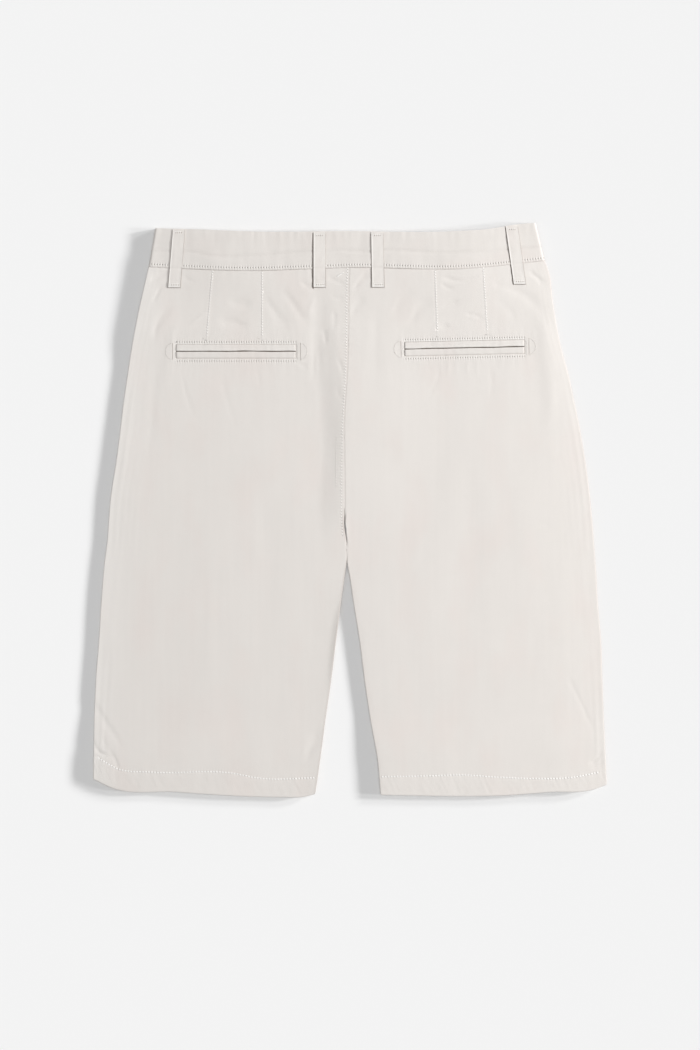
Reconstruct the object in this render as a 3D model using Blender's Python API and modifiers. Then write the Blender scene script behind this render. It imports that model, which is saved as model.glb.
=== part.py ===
"""Bermuda shorts laid flat with the back up, made of the pieces that are cut and sewn together.

The wearer's left is at -X, the waist at +Y, and the fronts lie on the floor at Z = 0.
"""

import math
from collections import namedtuple

import bmesh
import bpy
import numpy as np

MM = 0.001  # every size below is in millimetres

# Thickness of each cloth, and the gap between neighbouring pieces
PANEL_CLOTH = 1.0
BAND_CLOTH = 1.6
LOOP_CLOTH = 1.2
GAP = 0.3
EDGE_GAP = 0.3  # from the middle of a rolled seam to the front and to the back
WAIST_GAP = 0.25  # from the waist seam to the band and to the panels

# Heights of the middle of each layer above the floor
LAYER_PITCH = PANEL_CLOTH + GAP
FRONT_MID = PANEL_CLOTH / 2
BACK_MID = FRONT_MID + 3 * LAYER_PITCH
BUTTON_THICKNESS = 2.2
BAND_PITCH = BAND_CLOTH + GAP
BAND_FRONT_MID = BUTTON_THICKNESS + GAP + BAND_CLOTH / 2
BAND_LAP_MID = BAND_FRONT_MID + BAND_PITCH
BAND_BACK_MID = BAND_LAP_MID + BAND_PITCH
WAIST_SLOPE = 60.0  # how far below the waist seam the panels have come down from the band
SAG_FROM_MIDDLE = (122.0, 200.0)  # here the ends of the waist sink to the floor, clear of the button

# Datum levels: the waist seam and the hem edge, before their own bends
WAIST_Y = 256.0
HEM_DROP = 556.0
CROTCH_DROP = 266.0
INSEAM_DROP = 313.0  # here both inner edges are fully rolled
HEM_DEPTH = 23.0
WAIST_BEND_FADE = 90.0
HEM_BEND_START = 430.0

# One row for each section across the shorts: its drop below the waist seam, and where the
# side seams and the inner edges (centre seam, then inseams) lie
Section = namedtuple("Section", "drop left_side left_inner right_inner right_side")
SECTIONS = (
    Section(0, -210.6, 1.0, 1.0, 205.6),
    Section(16, -214.2, 0.0, 0.0, 211.0),
    Section(36, -218.8, -0.2, -0.2, 213.6),
    Section(78, -227.2, -0.6, -0.6, 221.2),
    Section(120, -233.8, -2.2, -2.2, 232.3),
    Section(146, -237.5, -4.1, -4.1, 237.6),
    Section(162, -239.4, -4.6, -4.6, 241.0),
    Section(204, -244.7, -4.4, -4.4, 248.3),
    Section(246, -251.0, -4.1, -4.1, 252.5),
    Section(266, -252.6, -3.9, -3.9, 254.5),
    Section(288, -254.1, -2.4, -2.2, 256.7),
    Section(313, -257.3, -2.9, -1.6, 258.8),
    Section(351, -260.4, -7.4, 3.8, 260.4),
    Section(393, -263.0, -13.4, 10.8, 264.1),
    Section(435, -266.2, -18.6, 16.1, 266.2),
    Section(477, -267.8, -24.6, 22.3, 266.9),
    Section(519, -268.3, -30.0, 29.7, 268.0),
    Section(556, -268.8, -35.5, 33.0, 268.8),
)

# The lines that cross the shorts, from left to right
Point = namedtuple("Point", "x y")
WAIST_SEAM = (
    Point(-210.6, 256.2),
    Point(-170.0, 254.2),
    Point(-104.0, 252.1),
    Point(-51.0, 253.2),
    Point(0.0, 254.6),
    Point(127.0, 253.9),
    Point(173.0, 258.4),
    Point(206.0, 262.4),
)
BAND_TOP = (
    Point(-203.8, 296.4),
    Point(-165.9, 295.3),
    Point(-103.9, 292.6),
    Point(0.0, 292.8),
    Point(106.1, 292.8),
    Point(146.0, 295.3),
    Point(179.6, 300.8),
    Point(196.4, 301.9),
)
HEM_EDGE = (
    Point(-268.8, -283.0),
    Point(-262.5, -286.1),
    Point(-254.1, -290.3),
    Point(-181.7, -296.6),
    Point(-97.7, -301.5),
    Point(-70.0, -302.0),
    Point(-48.3, -301.6),
    Point(-35.5, -298.7),
    Point(33.0, -299.8),
    Point(170.1, -299.8),
    Point(212.1, -296.6),
    Point(254.1, -294.5),
    Point(268.8, -289.3),
)
BAND_TOP_LEFT_X = -203.8
BAND_TOP_RIGHT_X = 196.4
FRONT_RISE_LOSS = 8.0  # the front waist dips this far below the back at its middle

# How far the back sinks between its seams, and where: in from an edge, below the waist seam and
# above the hem edge
SETTLE = 1.2
SETTLE_FROM_EDGE = (3.0, 35.0)
SETTLE_FROM_WAIST = (60.0, 110.0)
SETTLE_FROM_HEM = (38.0, 90.0)

# The largest soft folds of the back: ridges have a positive height, troughs a negative one. They
# die out towards the waist seam and the hem
Fold = namedtuple("Fold", "from_x from_y to_x to_y half_width height")
FOLDS = (
    Fold(-24.0, 222.0, -13.0, 94.0, 14.0, -0.7),
    Fold(-13.0, 94.0, -15.0, -48.0, 14.0, -0.7),
    Fold(7.0, 235.0, 7.0, -40.0, 12.0, 0.7),
    Fold(193.0, 230.0, 209.0, 173.0, 16.0, -0.6),
    Fold(209.0, 173.0, 200.0, 31.0, 16.0, -0.6),
)
FOLDS_FROM_WAIST = (5.0, 40.0)
FOLDS_FROM_HEM = (30.0, 60.0)

# Columns of a panel's grid: around a rolled edge, then this far in from it
ROLL_ANGLES = tuple(math.radians(a) for a in (0, 30, 60, 90))
SIDE_STEPS = (12.0, 30.0)
INNER_STEPS = (26.0, 14.0, 7.0)
MIDDLE_COLUMNS = 8
FLAT_EDGE_STEP = 1.2  # column spacing where the inner edge is a flat seam
HEM_ROLL_ANGLES = tuple(math.radians(a) for a in (45, 90, 135, 180))

# Fly: the left front laps over the right one as far down as the zip goes
FLY_DROP = 140.0
FLY_END_DROP = 158.0
FLY_FLAT_DROP = 204.0
FLY_LAP = 6.0
FLY_UNDERLAP = 2.0
FLY_CLEARANCE = 3.0  # the right layer is up this far before it reaches the lap's edge
FLY_STEP = 8.0  # and climbs within this width
ZIP_WIDTH = 24.0
ZIP_TOP_DROP = 3.0
BAND_UNDERLAP = 30.0
BAND_ROWS = 3
BAND_FRONT_STEPS = 12
BAND_BACK_STEPS = 24
BAND_LAP_STEPS = 3
BAND_ROLL_ANGLES = tuple(math.radians(a) for a in (-60, -30, 0, 30, 60))

# Back pockets: the window in the panel, and its tilt
Pocket = namedtuple("Pocket", "side x y tilt")
POCKETS = (
    Pocket("left", -118.9, 166.4, 0.0),
    Pocket("right", 121.1, 170.0, 1.2),
)
WINDOW_WIDTH = 126.0
WINDOW_HEIGHT = 14.5
SLIT = 0.5
FACING_MARGIN = 5.0
WELT_COLUMNS = 9

# Belt loops: the middle of each end
Loop = namedtuple("Loop", "name layer top_x top_y foot_x foot_y")
LOOPS = (
    Loop("belt_loop_back_outer_left", 1, -178.6, 294.6, -183.6, 233.4),
    Loop("belt_loop_back_inner_left", 1, -31.3, 291.2, -31.3, 233.5),
    Loop("belt_loop_back_inner_right", 1, 29.4, 291.2, 30.5, 233.5),
    Loop("belt_loop_back_outer_right", 1, 170.5, 297.9, 179.2, 236.8),
    Loop("belt_loop_front_left", -1, -112.0, 285.0, -114.0, 234.0),
    Loop("belt_loop_front_right", -1, 112.0, 285.0, 114.0, 234.0),
)
LOOP_WIDTH = 12.6
# How far a belt loop stands off along its length, as shares of the length and of the stand-off
Arch = namedtuple("Arch", "share height")
LOOP_ARCH = (
    Arch(0.0, 0.0),
    Arch(0.07, 0.0),
    Arch(0.2, 0.75),
    Arch(0.4, 1.0),
    Arch(0.6, 1.0),
    Arch(0.8, 0.7),
    Arch(0.93, 0.0),
    Arch(1.0, 0.0),
)
STAND_OFF = {1: 1.2, -1: 0.9}

# Waist button
BUTTON_RADIUS = 8.0
BUTTON_FROM_LAP_EDGE = 14.0
BUTTON_EDGE = 0.6
BUTTON_DISH = 5.2
BUTTON_DISH_DEPTH = 0.7
SHANK_RADIUS = 1.0
BUTTON_HOLE_RADIUS = 0.9
BUTTON_HOLE_PLACE = 1.9
BUTTON_HOLE_TOP = 1.7
BUTTONHOLE_LENGTH = 18.0
BUTTONHOLE_WIDTH = 2.6
BUTTON_STEPS = 28
MERGE_DISTANCE = 0.01

STONE = (0.76, 0.72, 0.67, 1.0)
ZIP_TAPE = (0.72, 0.69, 0.64, 1.0)
HORN = (0.66, 0.60, 0.52, 1.0)


def clear_scene():
    for obj in list(bpy.data.objects):
        bpy.data.objects.remove(obj, do_unlink=True)


def new_collection(name):
    collection = bpy.data.collections.new(name)
    bpy.context.scene.collection.children.link(collection)
    return collection


def new_material(name, colour, roughness):
    material = bpy.data.materials.new(name)
    material.use_nodes = True
    shader = material.node_tree.nodes["Principled BSDF"]
    shader.inputs["Base Color"].default_value = colour
    shader.inputs["Roughness"].default_value = roughness
    shader.inputs["Metallic"].default_value = 0.0
    return material


def fade(value, start, end):
    """1 at start and before, 0 at end and after, smooth between."""
    share = min(max((end - value) / (end - start), 0.0), 1.0)
    return share * share * (3.0 - 2.0 * share)


def on_curve(places, values, at):
    """Value at one place of the smooth curve through the given points; it is level past its ends."""
    at = min(max(at, places[0]), places[-1])
    slopes = np.gradient(values, places)
    i = min(int(np.searchsorted(places, at, side="right")) - 1, len(places) - 2)
    span = places[i + 1] - places[i]
    t = (at - places[i]) / span
    rise = t * t * (3 - 2 * t)
    leaving = t * (1 - t) ** 2
    arriving = t * t * (t - 1)
    level = values[i] + (values[i + 1] - values[i]) * rise
    return float(level + span * (slopes[i] * leaving + slopes[i + 1] * arriving))


def on_line(line, x):
    return on_curve([p.x for p in line], [p.y for p in line], x)


def on_section(column, drop):
    return on_curve([s.drop for s in SECTIONS], [getattr(s, column) for s in SECTIONS], drop)


def front_dip(x):
    """How far the front waist lies below the back one."""
    half = (BAND_TOP_RIGHT_X - BAND_TOP_LEFT_X) / 2
    middle = (BAND_TOP_RIGHT_X + BAND_TOP_LEFT_X) / 2
    return FRONT_RISE_LOSS * max(0.0, 1.0 - ((x - middle) / half) ** 2)


def waist_line(x, layer):
    return on_line(WAIST_SEAM, x) - (front_dip(x) if layer < 0 else 0.0)


def band_top_line(x, layer):
    return on_line(BAND_TOP, x) - (front_dip(x) if layer < 0 else 0.0)


def y_of(x, drop, layer):
    """Where a level of the panel lies, with the bends of the waist seam and of the hem."""
    waist_bend = (waist_line(x, layer) - WAIST_Y) * fade(drop, 0.0, WAIST_BEND_FADE)
    hem_bend = on_line(HEM_EDGE, x) - (WAIST_Y - HEM_DROP)
    return WAIST_Y - drop + waist_bend + hem_bend * (1.0 - fade(drop, HEM_BEND_START, HEM_DROP))


def drop_of(x, y, layer):
    return waist_line(x, layer) - y


def sag(x):
    """How far the waist sinks here: the button and the front belt loops hold up only its middle."""
    return (BUTTON_THICKNESS + GAP) * (1.0 - fade(abs(x), *SAG_FROM_MIDDLE))


def rest_height(layer, drop, x):
    """Height of the middle of the cloth, without folds."""
    low, high = (BACK_MID, BAND_BACK_MID) if layer > 0 else (FRONT_MID, BAND_FRONT_MID)
    return low + (high - sag(x) - low) * fade(drop, 0.0, WAIST_SLOPE)


def fold_height(x, y):
    total = 0.0
    for fold in FOLDS:
        run_x, run_y = fold.to_x - fold.from_x, fold.to_y - fold.from_y
        length = math.hypot(run_x, run_y)
        along = ((x - fold.from_x) * run_x + (y - fold.from_y) * run_y) / length
        aside = abs((x - fold.from_x) * run_y - (y - fold.from_y) * run_x) / length
        past_end = max(0.0, -along, along - length)
        total += fold.height * fade(aside, 0.0, fold.half_width) * fade(past_end, 0.0, fold.half_width)
    return total


def back_height(x, y):
    """Height of the middle of the back panels' cloth, away from the rolled edges."""
    drop = drop_of(x, y, 1)
    side = min(x - on_section("left_side", drop), on_section("right_side", drop) - x)
    left_inner, right_inner = on_section("left_inner", drop), on_section("right_inner", drop)
    inner = max(left_inner - x, x - right_inner)
    above_hem = HEM_DROP - drop
    inside = (1 - fade(min(side, inner), *SETTLE_FROM_EDGE)) * (1 - fade(drop, *SETTLE_FROM_WAIST))
    inside *= 1 - fade(above_hem, *SETTLE_FROM_HEM)
    free = (1 - fade(drop, *FOLDS_FROM_WAIST)) * (1 - fade(above_hem, *FOLDS_FROM_HEM))
    return rest_height(1, drop, x) - SETTLE * inside + fold_height(x, y) * free


def front_height(x, y, leg):
    """Height of the middle of the front panels' cloth; the right one climbs onto the fly lap."""
    drop = drop_of(x, y, -1)
    height = rest_height(-1, drop, x)
    if leg == "right":
        past_lap = x - on_section("left_inner", drop) - FLY_LAP
        climb = fade(past_lap, FLY_CLEARANCE, FLY_CLEARANCE + FLY_STEP)
        height += LAYER_PITCH * climb * fade(drop, FLY_END_DROP, FLY_FLAT_DROP)
    return height


def inner_edge(leg, layer, drop):
    """The panel's edge at the middle of the garment, with the fly's lap on the fronts."""
    x = on_section(leg + "_inner", drop)
    lap = fade(drop, FLY_DROP, FLY_END_DROP) if layer < 0 else 0.0
    if leg == "left":
        return x + FLY_LAP * lap - GAP / 2
    return x - FLY_UNDERLAP * lap + GAP / 2


def section_points(leg, layer, drop, inset):
    """Middle of the cloth across one panel, side seam first; inset moves it towards the inside."""
    towards = 1 if leg == "left" else -1
    side_x = on_section(leg + "_side", drop)
    inner_x = inner_edge(leg, layer, drop)
    turned_in = inset / LAYER_PITCH

    def cloth(x):
        y = y_of(x, drop, layer)
        height = back_height(x, y) if layer > 0 else front_height(x, y, leg)
        return x, height - layer * inset

    def edge(edge_x, inward, rolled):
        """Points from an edge inwards: round a roll, or flat for a flat seam and a turned-in hem."""
        points = []
        high, low = rest_height(1, drop, edge_x), rest_height(-1, drop, edge_x)
        roll_mid = (high + low) / 2
        radius = (high - low) / 2
        reach = radius - inset
        share = rolled * (1 - turned_in)
        clear = turned_in * (PANEL_CLOTH / 2 + radius)
        for i, angle in enumerate(ROLL_ANGLES):
            roll_x = edge_x + inward * (PANEL_CLOTH / 2 + radius - reach * math.cos(angle))
            roll_z = roll_mid + layer * max(EDGE_GAP, reach * math.sin(angle))
            flat_x, flat_z = cloth(edge_x + inward * (clear + i * FLAT_EDGE_STEP))
            points.append((flat_x + (roll_x - flat_x) * share, flat_z + (roll_z - flat_z) * share))
        return points

    first = side_x + towards * SIDE_STEPS[-1]
    last = inner_x - towards * INNER_STEPS[0]
    shares = [(i + 1) / (MIDDLE_COLUMNS + 1) for i in range(MIDDLE_COLUMNS)]
    points = edge(side_x, towards, 1.0)
    points += [cloth(side_x + towards * step) for step in SIDE_STEPS]
    points += [cloth(first + (last - first) * share) for share in shares]
    points += [cloth(inner_x - towards * step) for step in INNER_STEPS]
    points += reversed(edge(inner_x, -towards, 1 - fade(drop, CROTCH_DROP, INSEAM_DROP)))
    return points


def panel_rows():
    """Rows of a panel's grid: its drop, how far it is inset, and how far it is short of its level."""
    fold_radius = LAYER_PITCH / 2
    rows = [(s.drop, 0.0, 0.0) for s in SECTIONS[:-1]]
    rows[0] = (0.0, 0.0, -WAIST_GAP)
    bottom = HEM_DROP
    rows.append((bottom, 0.0, PANEL_CLOTH / 2 + fold_radius))
    for angle in HEM_ROLL_ANGLES:
        short = PANEL_CLOTH / 2 + fold_radius * (1 - math.sin(angle))
        rows.append((bottom, fold_radius * (1 - math.cos(angle)), short))
    rows.append((bottom - HEM_DEPTH, LAYER_PITCH, 0.0))
    return rows


def cloth_object(name, columns, rows, place, thickness, material, collection):
    """A sheet of columns x rows points, each put where place(column, row) says, with a wall."""
    mesh = bpy.data.meshes.new(name)
    bm = bmesh.new()
    bmesh.ops.create_grid(bm, x_segments=columns - 1, y_segments=rows - 1, size=1.0)
    for vert in bm.verts:
        column = round((vert.co.x + 1) / 2 * (columns - 1))
        row = round((vert.co.y + 1) / 2 * (rows - 1))
        vert.co = [value * MM for value in place(column, row)]
    bm.to_mesh(mesh)
    bm.free()
    mesh.shade_smooth()
    mesh.materials.append(material)
    obj = bpy.data.objects.new(name, mesh)
    collection.objects.link(obj)
    wall = obj.modifiers.new("wall", "SOLIDIFY")
    wall.thickness = thickness * MM
    wall.offset = 0.0
    return obj


def make_panel(leg, layer, material, collection):
    rows = panel_rows()
    sections = [section_points(leg, layer, drop, inset) for drop, inset, _ in rows]

    def place(column, row):
        drop, _, short = rows[row]
        x, z = sections[row][column]
        return x, y_of(x, drop, layer) + short, z

    name = ("back_" if layer > 0 else "front_") + leg
    return cloth_object(name, len(sections[0]), len(rows), place, PANEL_CLOTH, material, collection)


def band_path(left_x, right_x):
    """The waistband from its outer end at the fly, round the left side, the back and the right side."""
    lap_edge = on_section("left_inner", 0.0) + FLY_LAP
    radius = (BAND_BACK_MID - BAND_FRONT_MID) / 2
    middle = (BAND_BACK_MID + BAND_FRONT_MID) / 2
    left_centre = left_x + BAND_CLOTH / 2 + radius
    right_centre = right_x - BAND_CLOTH / 2 - radius
    lap_up = lap_edge + FLY_CLEARANCE

    def run(start, end, steps, height, layer):
        places = [start + (end - start) * i / steps for i in range(steps + 1)]
        return [(x, height - sag(x), layer) for x in places]

    def roll(centre, side):
        turns = [(radius * math.cos(a), -side * radius * math.sin(a)) for a in BAND_ROLL_ANGLES]
        return [(centre + side * out, middle - sag(centre) + up, 1) for out, up in turns]

    path = run(lap_edge, left_centre, BAND_FRONT_STEPS, BAND_FRONT_MID, -1)
    path += roll(left_centre, -1)
    path += run(left_centre, right_centre, BAND_BACK_STEPS, BAND_BACK_MID, 1)
    path += roll(right_centre, 1)
    path += run(right_centre, lap_up + FLY_STEP, BAND_FRONT_STEPS, BAND_FRONT_MID, -1)
    path += run(lap_up, lap_edge - BAND_UNDERLAP, BAND_LAP_STEPS, BAND_LAP_MID, -1)
    return path


def make_waistband(material, collection, cutters):
    bottom = band_path(on_section("left_side", 0.0), on_section("right_side", 0.0))
    top = band_path(BAND_TOP_LEFT_X, BAND_TOP_RIGHT_X)

    def place(column, row):
        share = row / (BAND_ROWS - 1)
        low_x, z, layer = bottom[column]
        high_x = top[column][0]
        low_y = waist_line(low_x, layer) + WAIST_GAP
        high_y = band_top_line(high_x, layer)
        return low_x + (high_x - low_x) * share, low_y + (high_y - low_y) * share, z

    band = cloth_object("waistband", len(bottom), BAND_ROWS, place, BAND_CLOTH, material, collection)
    x, y = button_place()
    slot_x = x - BUTTONHOLE_LENGTH / 2 + SHANK_RADIUS + GAP
    slot_top = BAND_FRONT_MID + BAND_CLOTH / 2 + GAP / 2
    size = (BUTTONHOLE_LENGTH, BUTTONHOLE_WIDTH, slot_top)
    cut(band, box_cutter("buttonhole", (slot_x, y, slot_top / 2), size, 0.0, cutters))


def box_cutter(name, centre, size, tilt, cutters):
    bpy.ops.mesh.primitive_cube_add(size=1.0, location=[value * MM for value in centre])
    cutter = bpy.context.object
    cutter.name = name
    cutter.scale = [value * MM for value in size]
    cutter.rotation_euler = (0.0, 0.0, math.radians(tilt))
    return keep_as_cutter(cutter, cutters)


def keep_as_cutter(cutter, cutters):
    for collection in list(cutter.users_collection):
        collection.objects.unlink(cutter)
    cutters.objects.link(cutter)
    cutter.hide_render = True
    cutter.display_type = "WIRE"
    return cutter


def cut(obj, cutter):
    boolean = obj.modifiers.new(cutter.name, "BOOLEAN")
    boolean.operation = "DIFFERENCE"
    boolean.solver = "EXACT"
    boolean.object = cutter


def make_pocket(pocket, panel, material, collection, cutters):
    """The window in the back panel, its two welts with a slit between, and the facing behind."""
    size = (WINDOW_WIDTH + 2 * GAP, WINDOW_HEIGHT + 2 * GAP, 4 * BACK_MID)
    centre = (pocket.x, pocket.y, BACK_MID)
    cut(panel, box_cutter("pocket_window_" + pocket.side, centre, size, pocket.tilt, cutters))
    cos, sin = math.cos(math.radians(pocket.tilt)), math.sin(math.radians(pocket.tilt))

    def strip(name, width, low, high, sunk):
        def place(column, row):
            along = (column / (WELT_COLUMNS - 1) - 0.5) * width
            across = high if row else low
            x = pocket.x + along * cos - across * sin
            y = pocket.y + along * sin + across * cos
            return x, y, back_height(x, y) - sunk

        cloth_object(name, WELT_COLUMNS, 2, place, PANEL_CLOTH, material, collection)

    half = WINDOW_HEIGHT / 2
    strip("welt_" + pocket.side + "_upper", WINDOW_WIDTH, SLIT / 2, half, 0.0)
    strip("welt_" + pocket.side + "_lower", WINDOW_WIDTH, -half, -SLIT / 2, 0.0)
    margin = half + FACING_MARGIN
    strip("pocket_facing_" + pocket.side, WINDOW_WIDTH + 2 * FACING_MARGIN, -margin, margin, LAYER_PITCH)


def carrying_surface(x, y, layer):
    """Outer surface of what a belt loop lies on: the band, or the panel below it."""
    if y > waist_line(x, layer):
        return (BAND_BACK_MID if layer > 0 else BAND_FRONT_MID) - sag(x) + layer * BAND_CLOTH / 2
    if layer > 0:
        return back_height(x, y) + PANEL_CLOTH / 2
    leg = "left" if x < 0 else "right"
    return front_height(x, y, leg) - PANEL_CLOTH / 2


def make_loop(loop, material, collection):

    def place(column, row):
        share, arch = LOOP_ARCH[row]
        x = loop.top_x + (loop.foot_x - loop.top_x) * share
        y = loop.top_y + (loop.foot_y - loop.top_y) * share
        surface = carrying_surface(x, y, loop.layer)
        height = GAP + LOOP_CLOTH / 2 + arch * STAND_OFF[loop.layer]
        return x + (column - 0.5) * LOOP_WIDTH, y, surface + loop.layer * height

    cloth_object(loop.name, 2, len(LOOP_ARCH), place, LOOP_CLOTH, material, collection)


def make_zip(material, collection):
    """The closed zip lies on the left front, against the edge of the right one."""
    drops = [ZIP_TOP_DROP] + [s.drop for s in SECTIONS if ZIP_TOP_DROP < s.drop < FLY_DROP] + [FLY_DROP]

    def place(column, row):
        drop = drops[row]
        right_x = on_section("left_inner", drop) - FLY_UNDERLAP - GAP
        x = right_x - (1 - column) * ZIP_WIDTH
        y = y_of(x, drop, -1)
        return x, y, front_height(x, y, "left") + LAYER_PITCH

    cloth_object("fly_zip", 2, len(drops), place, PANEL_CLOTH, material, collection)


def button_place():
    x = on_section("left_inner", 0.0) + FLY_LAP - BUTTON_FROM_LAP_EDGE
    return x, (waist_line(x, -1) + band_top_line(x, -1)) / 2


def make_button(material, collection, cutters):
    """A turned four-hole button, face down, with its thread shank through the buttonhole."""
    x, y = button_place()
    shank_top = BAND_FRONT_MID + BAND_CLOTH / 2
    rim = BUTTON_RADIUS - BUTTON_EDGE
    profile = (
        (0.0, shank_top),
        (SHANK_RADIUS, shank_top),
        (SHANK_RADIUS, BUTTON_THICKNESS),
        (rim, BUTTON_THICKNESS),
        (BUTTON_RADIUS, BUTTON_THICKNESS - BUTTON_EDGE),
        (BUTTON_RADIUS, BUTTON_EDGE),
        (rim, 0.0),
        (BUTTON_DISH + BUTTON_DISH_DEPTH, 0.0),
        (BUTTON_DISH, BUTTON_DISH_DEPTH),
        (0.0, BUTTON_DISH_DEPTH),
    )
    mesh = bpy.data.meshes.new("waist_button")
    points = [(radius * MM, 0.0, height * MM) for radius, height in profile]
    mesh.from_pydata(points, [(i, i + 1) for i in range(len(points) - 1)], [])
    mesh.materials.append(material)
    button = bpy.data.objects.new("waist_button", mesh)
    collection.objects.link(button)
    button.location = (x * MM, y * MM, 0.0)
    turn = button.modifiers.new("turn", "SCREW")
    turn.steps = BUTTON_STEPS
    turn.render_steps = BUTTON_STEPS
    turn.use_merge_vertices = True
    turn.merge_threshold = MERGE_DISTANCE * MM
    for i in range(4):
        angle = math.radians(45 + 90 * i)
        place = (x + BUTTON_HOLE_PLACE * math.cos(angle), y + BUTTON_HOLE_PLACE * math.sin(angle))
        bpy.ops.mesh.primitive_cylinder_add(
            vertices=10,
            radius=BUTTON_HOLE_RADIUS * MM,
            depth=2 * BUTTON_HOLE_TOP * MM,
            location=(place[0] * MM, place[1] * MM, 0.0),
        )
        cut(button, keep_as_cutter(bpy.context.object, cutters))


def main():
    clear_scene()
    shorts = new_collection("bermuda_shorts")
    cutters = new_collection("cutters")
    cloth = new_material("stone_cotton_twill", STONE, 0.9)
    tape = new_material("zip_tape", ZIP_TAPE, 0.8)
    horn = new_material("button_resin", HORN, 0.4)
    panels = {}
    for leg in ("left", "right"):
        for layer in (-1, 1):
            panels[leg, layer] = make_panel(leg, layer, cloth, shorts)
    make_waistband(cloth, shorts, cutters)
    for pocket in POCKETS:
        make_pocket(pocket, panels[pocket.side, 1], cloth, shorts, cutters)
    for loop in LOOPS:
        make_loop(loop, cloth, shorts)
    make_zip(tape, shorts)
    make_button(horn, shorts, cutters)


main()
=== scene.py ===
"""Looks of bermuda shorts laid flat with the back up: cloth, seams, stitching, pockets and fastenings.

Sizes are in millimetres unless a name says otherwise. The wearer's left is at -X, the waist at +Y,
and the fronts lie on the floor at Z = 0.
"""

import math
from collections import namedtuple
from functools import partial

import bmesh
import bpy
import numpy as np
from bpy.props import FloatProperty, FloatVectorProperty, PointerProperty
from mathutils import Matrix, Vector, noise
from mathutils.bvhtree import BVHTree


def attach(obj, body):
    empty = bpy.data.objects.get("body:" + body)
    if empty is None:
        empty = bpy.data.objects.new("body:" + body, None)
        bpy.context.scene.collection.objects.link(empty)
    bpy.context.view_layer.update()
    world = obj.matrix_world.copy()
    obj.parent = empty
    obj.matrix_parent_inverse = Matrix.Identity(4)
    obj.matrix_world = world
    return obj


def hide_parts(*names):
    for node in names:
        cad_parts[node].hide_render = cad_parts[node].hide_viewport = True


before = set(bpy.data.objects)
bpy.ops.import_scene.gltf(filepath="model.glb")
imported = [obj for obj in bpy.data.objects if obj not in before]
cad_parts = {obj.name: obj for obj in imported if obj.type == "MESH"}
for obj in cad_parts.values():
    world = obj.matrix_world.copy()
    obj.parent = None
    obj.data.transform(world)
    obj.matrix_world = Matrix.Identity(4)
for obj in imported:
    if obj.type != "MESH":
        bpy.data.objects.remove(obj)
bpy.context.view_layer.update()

bl_info = {
    "name": "Bermuda Shorts Laid Flat",
    "version": (1, 0, 0),
    "blender": (4, 5, 0),
    "location": "View3D > Sidebar > Shorts",
    "description": "Makes stone-coloured cotton bermuda shorts, laid flat with the back up",
    "category": "Add Mesh",
}

MM = 0.001
FRONT, BACK = -1, 1
LEGS = ("left", "right")
INWARDS = {"left": 1, "right": -1}
CLOTH_MAP = "cloth"  # the UV map that holds each point's place in the flat cut, in metres

# The layers and the gaps between them, as the solids have them
PANEL_CLOTH = 1.0
BAND_CLOTH = 1.6
GAP = 0.3
FLOOR_CLEARANCE = 0.02
LAYER_PITCH = PANEL_CLOTH + GAP
FRONT_MID = PANEL_CLOTH / 2
BACK_MID = FRONT_MID + 3 * LAYER_PITCH
BUTTON_THICKNESS = 2.2
BAND_PITCH = BAND_CLOTH + GAP
BAND_FRONT_MID = BUTTON_THICKNESS + GAP + BAND_CLOTH / 2
BAND_LAP_MID = BAND_FRONT_MID + BAND_PITCH
BAND_BACK_MID = BAND_LAP_MID + BAND_PITCH
WAIST_SLOPE = 60.0
SAG_FROM_MIDDLE = (122.0, 200.0)

# Datum levels: the waist seam and the hem edge, before their own bends
WAIST_Y = 256.0
HEM_DROP = 556.0
CROTCH_DROP = 266.0
INSEAM_DROP = 313.0
CENTRE_SEAM_END = (CROTCH_DROP - 14.0, CROTCH_DROP + 4.0)  # where its groove fades out
HEM_DEPTH = 23.0
WAIST_BEND_FADE = 90.0
HEM_BEND_START = 430.0
FRONT_RISE_LOSS = 8.0

Section = namedtuple("Section", "drop left_side left_inner right_inner right_side")
SECTION_ROWS = (
    (0, -210.6, 1.0, 1.0, 205.6),
    (16, -214.2, 0.0, 0.0, 211.0),
    (36, -218.8, -0.2, -0.2, 213.6),
    (78, -227.2, -0.6, -0.6, 221.2),
    (120, -233.8, -2.2, -2.2, 232.3),
    (146, -237.5, -4.1, -4.1, 237.6),
    (162, -239.4, -4.6, -4.6, 241.0),
    (204, -244.7, -4.4, -4.4, 248.3),
    (246, -251.0, -4.1, -4.1, 253.7),
    (266, -252.6, -3.9, -3.9, 255.6),
    (288, -254.1, -2.5, -2.5, 257.4),
    (311, -257.1, -2.3, -2.2, 259.1),
    (326, -258.5, -4.5, 0.5, 260.1),
    (351, -260.4, -8.0, 4.1, 261.4),
    (393, -263.0, -13.4, 10.8, 265.0),
    (435, -266.2, -18.6, 16.1, 266.4),
    (477, -267.8, -24.6, 22.3, 267.9),
    (519, -268.3, -30.0, 29.7, 269.5),
    (556, -268.8, -35.5, 33.0, 270.8),
)
SECTIONS = [Section(*row) for row in SECTION_ROWS]

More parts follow.
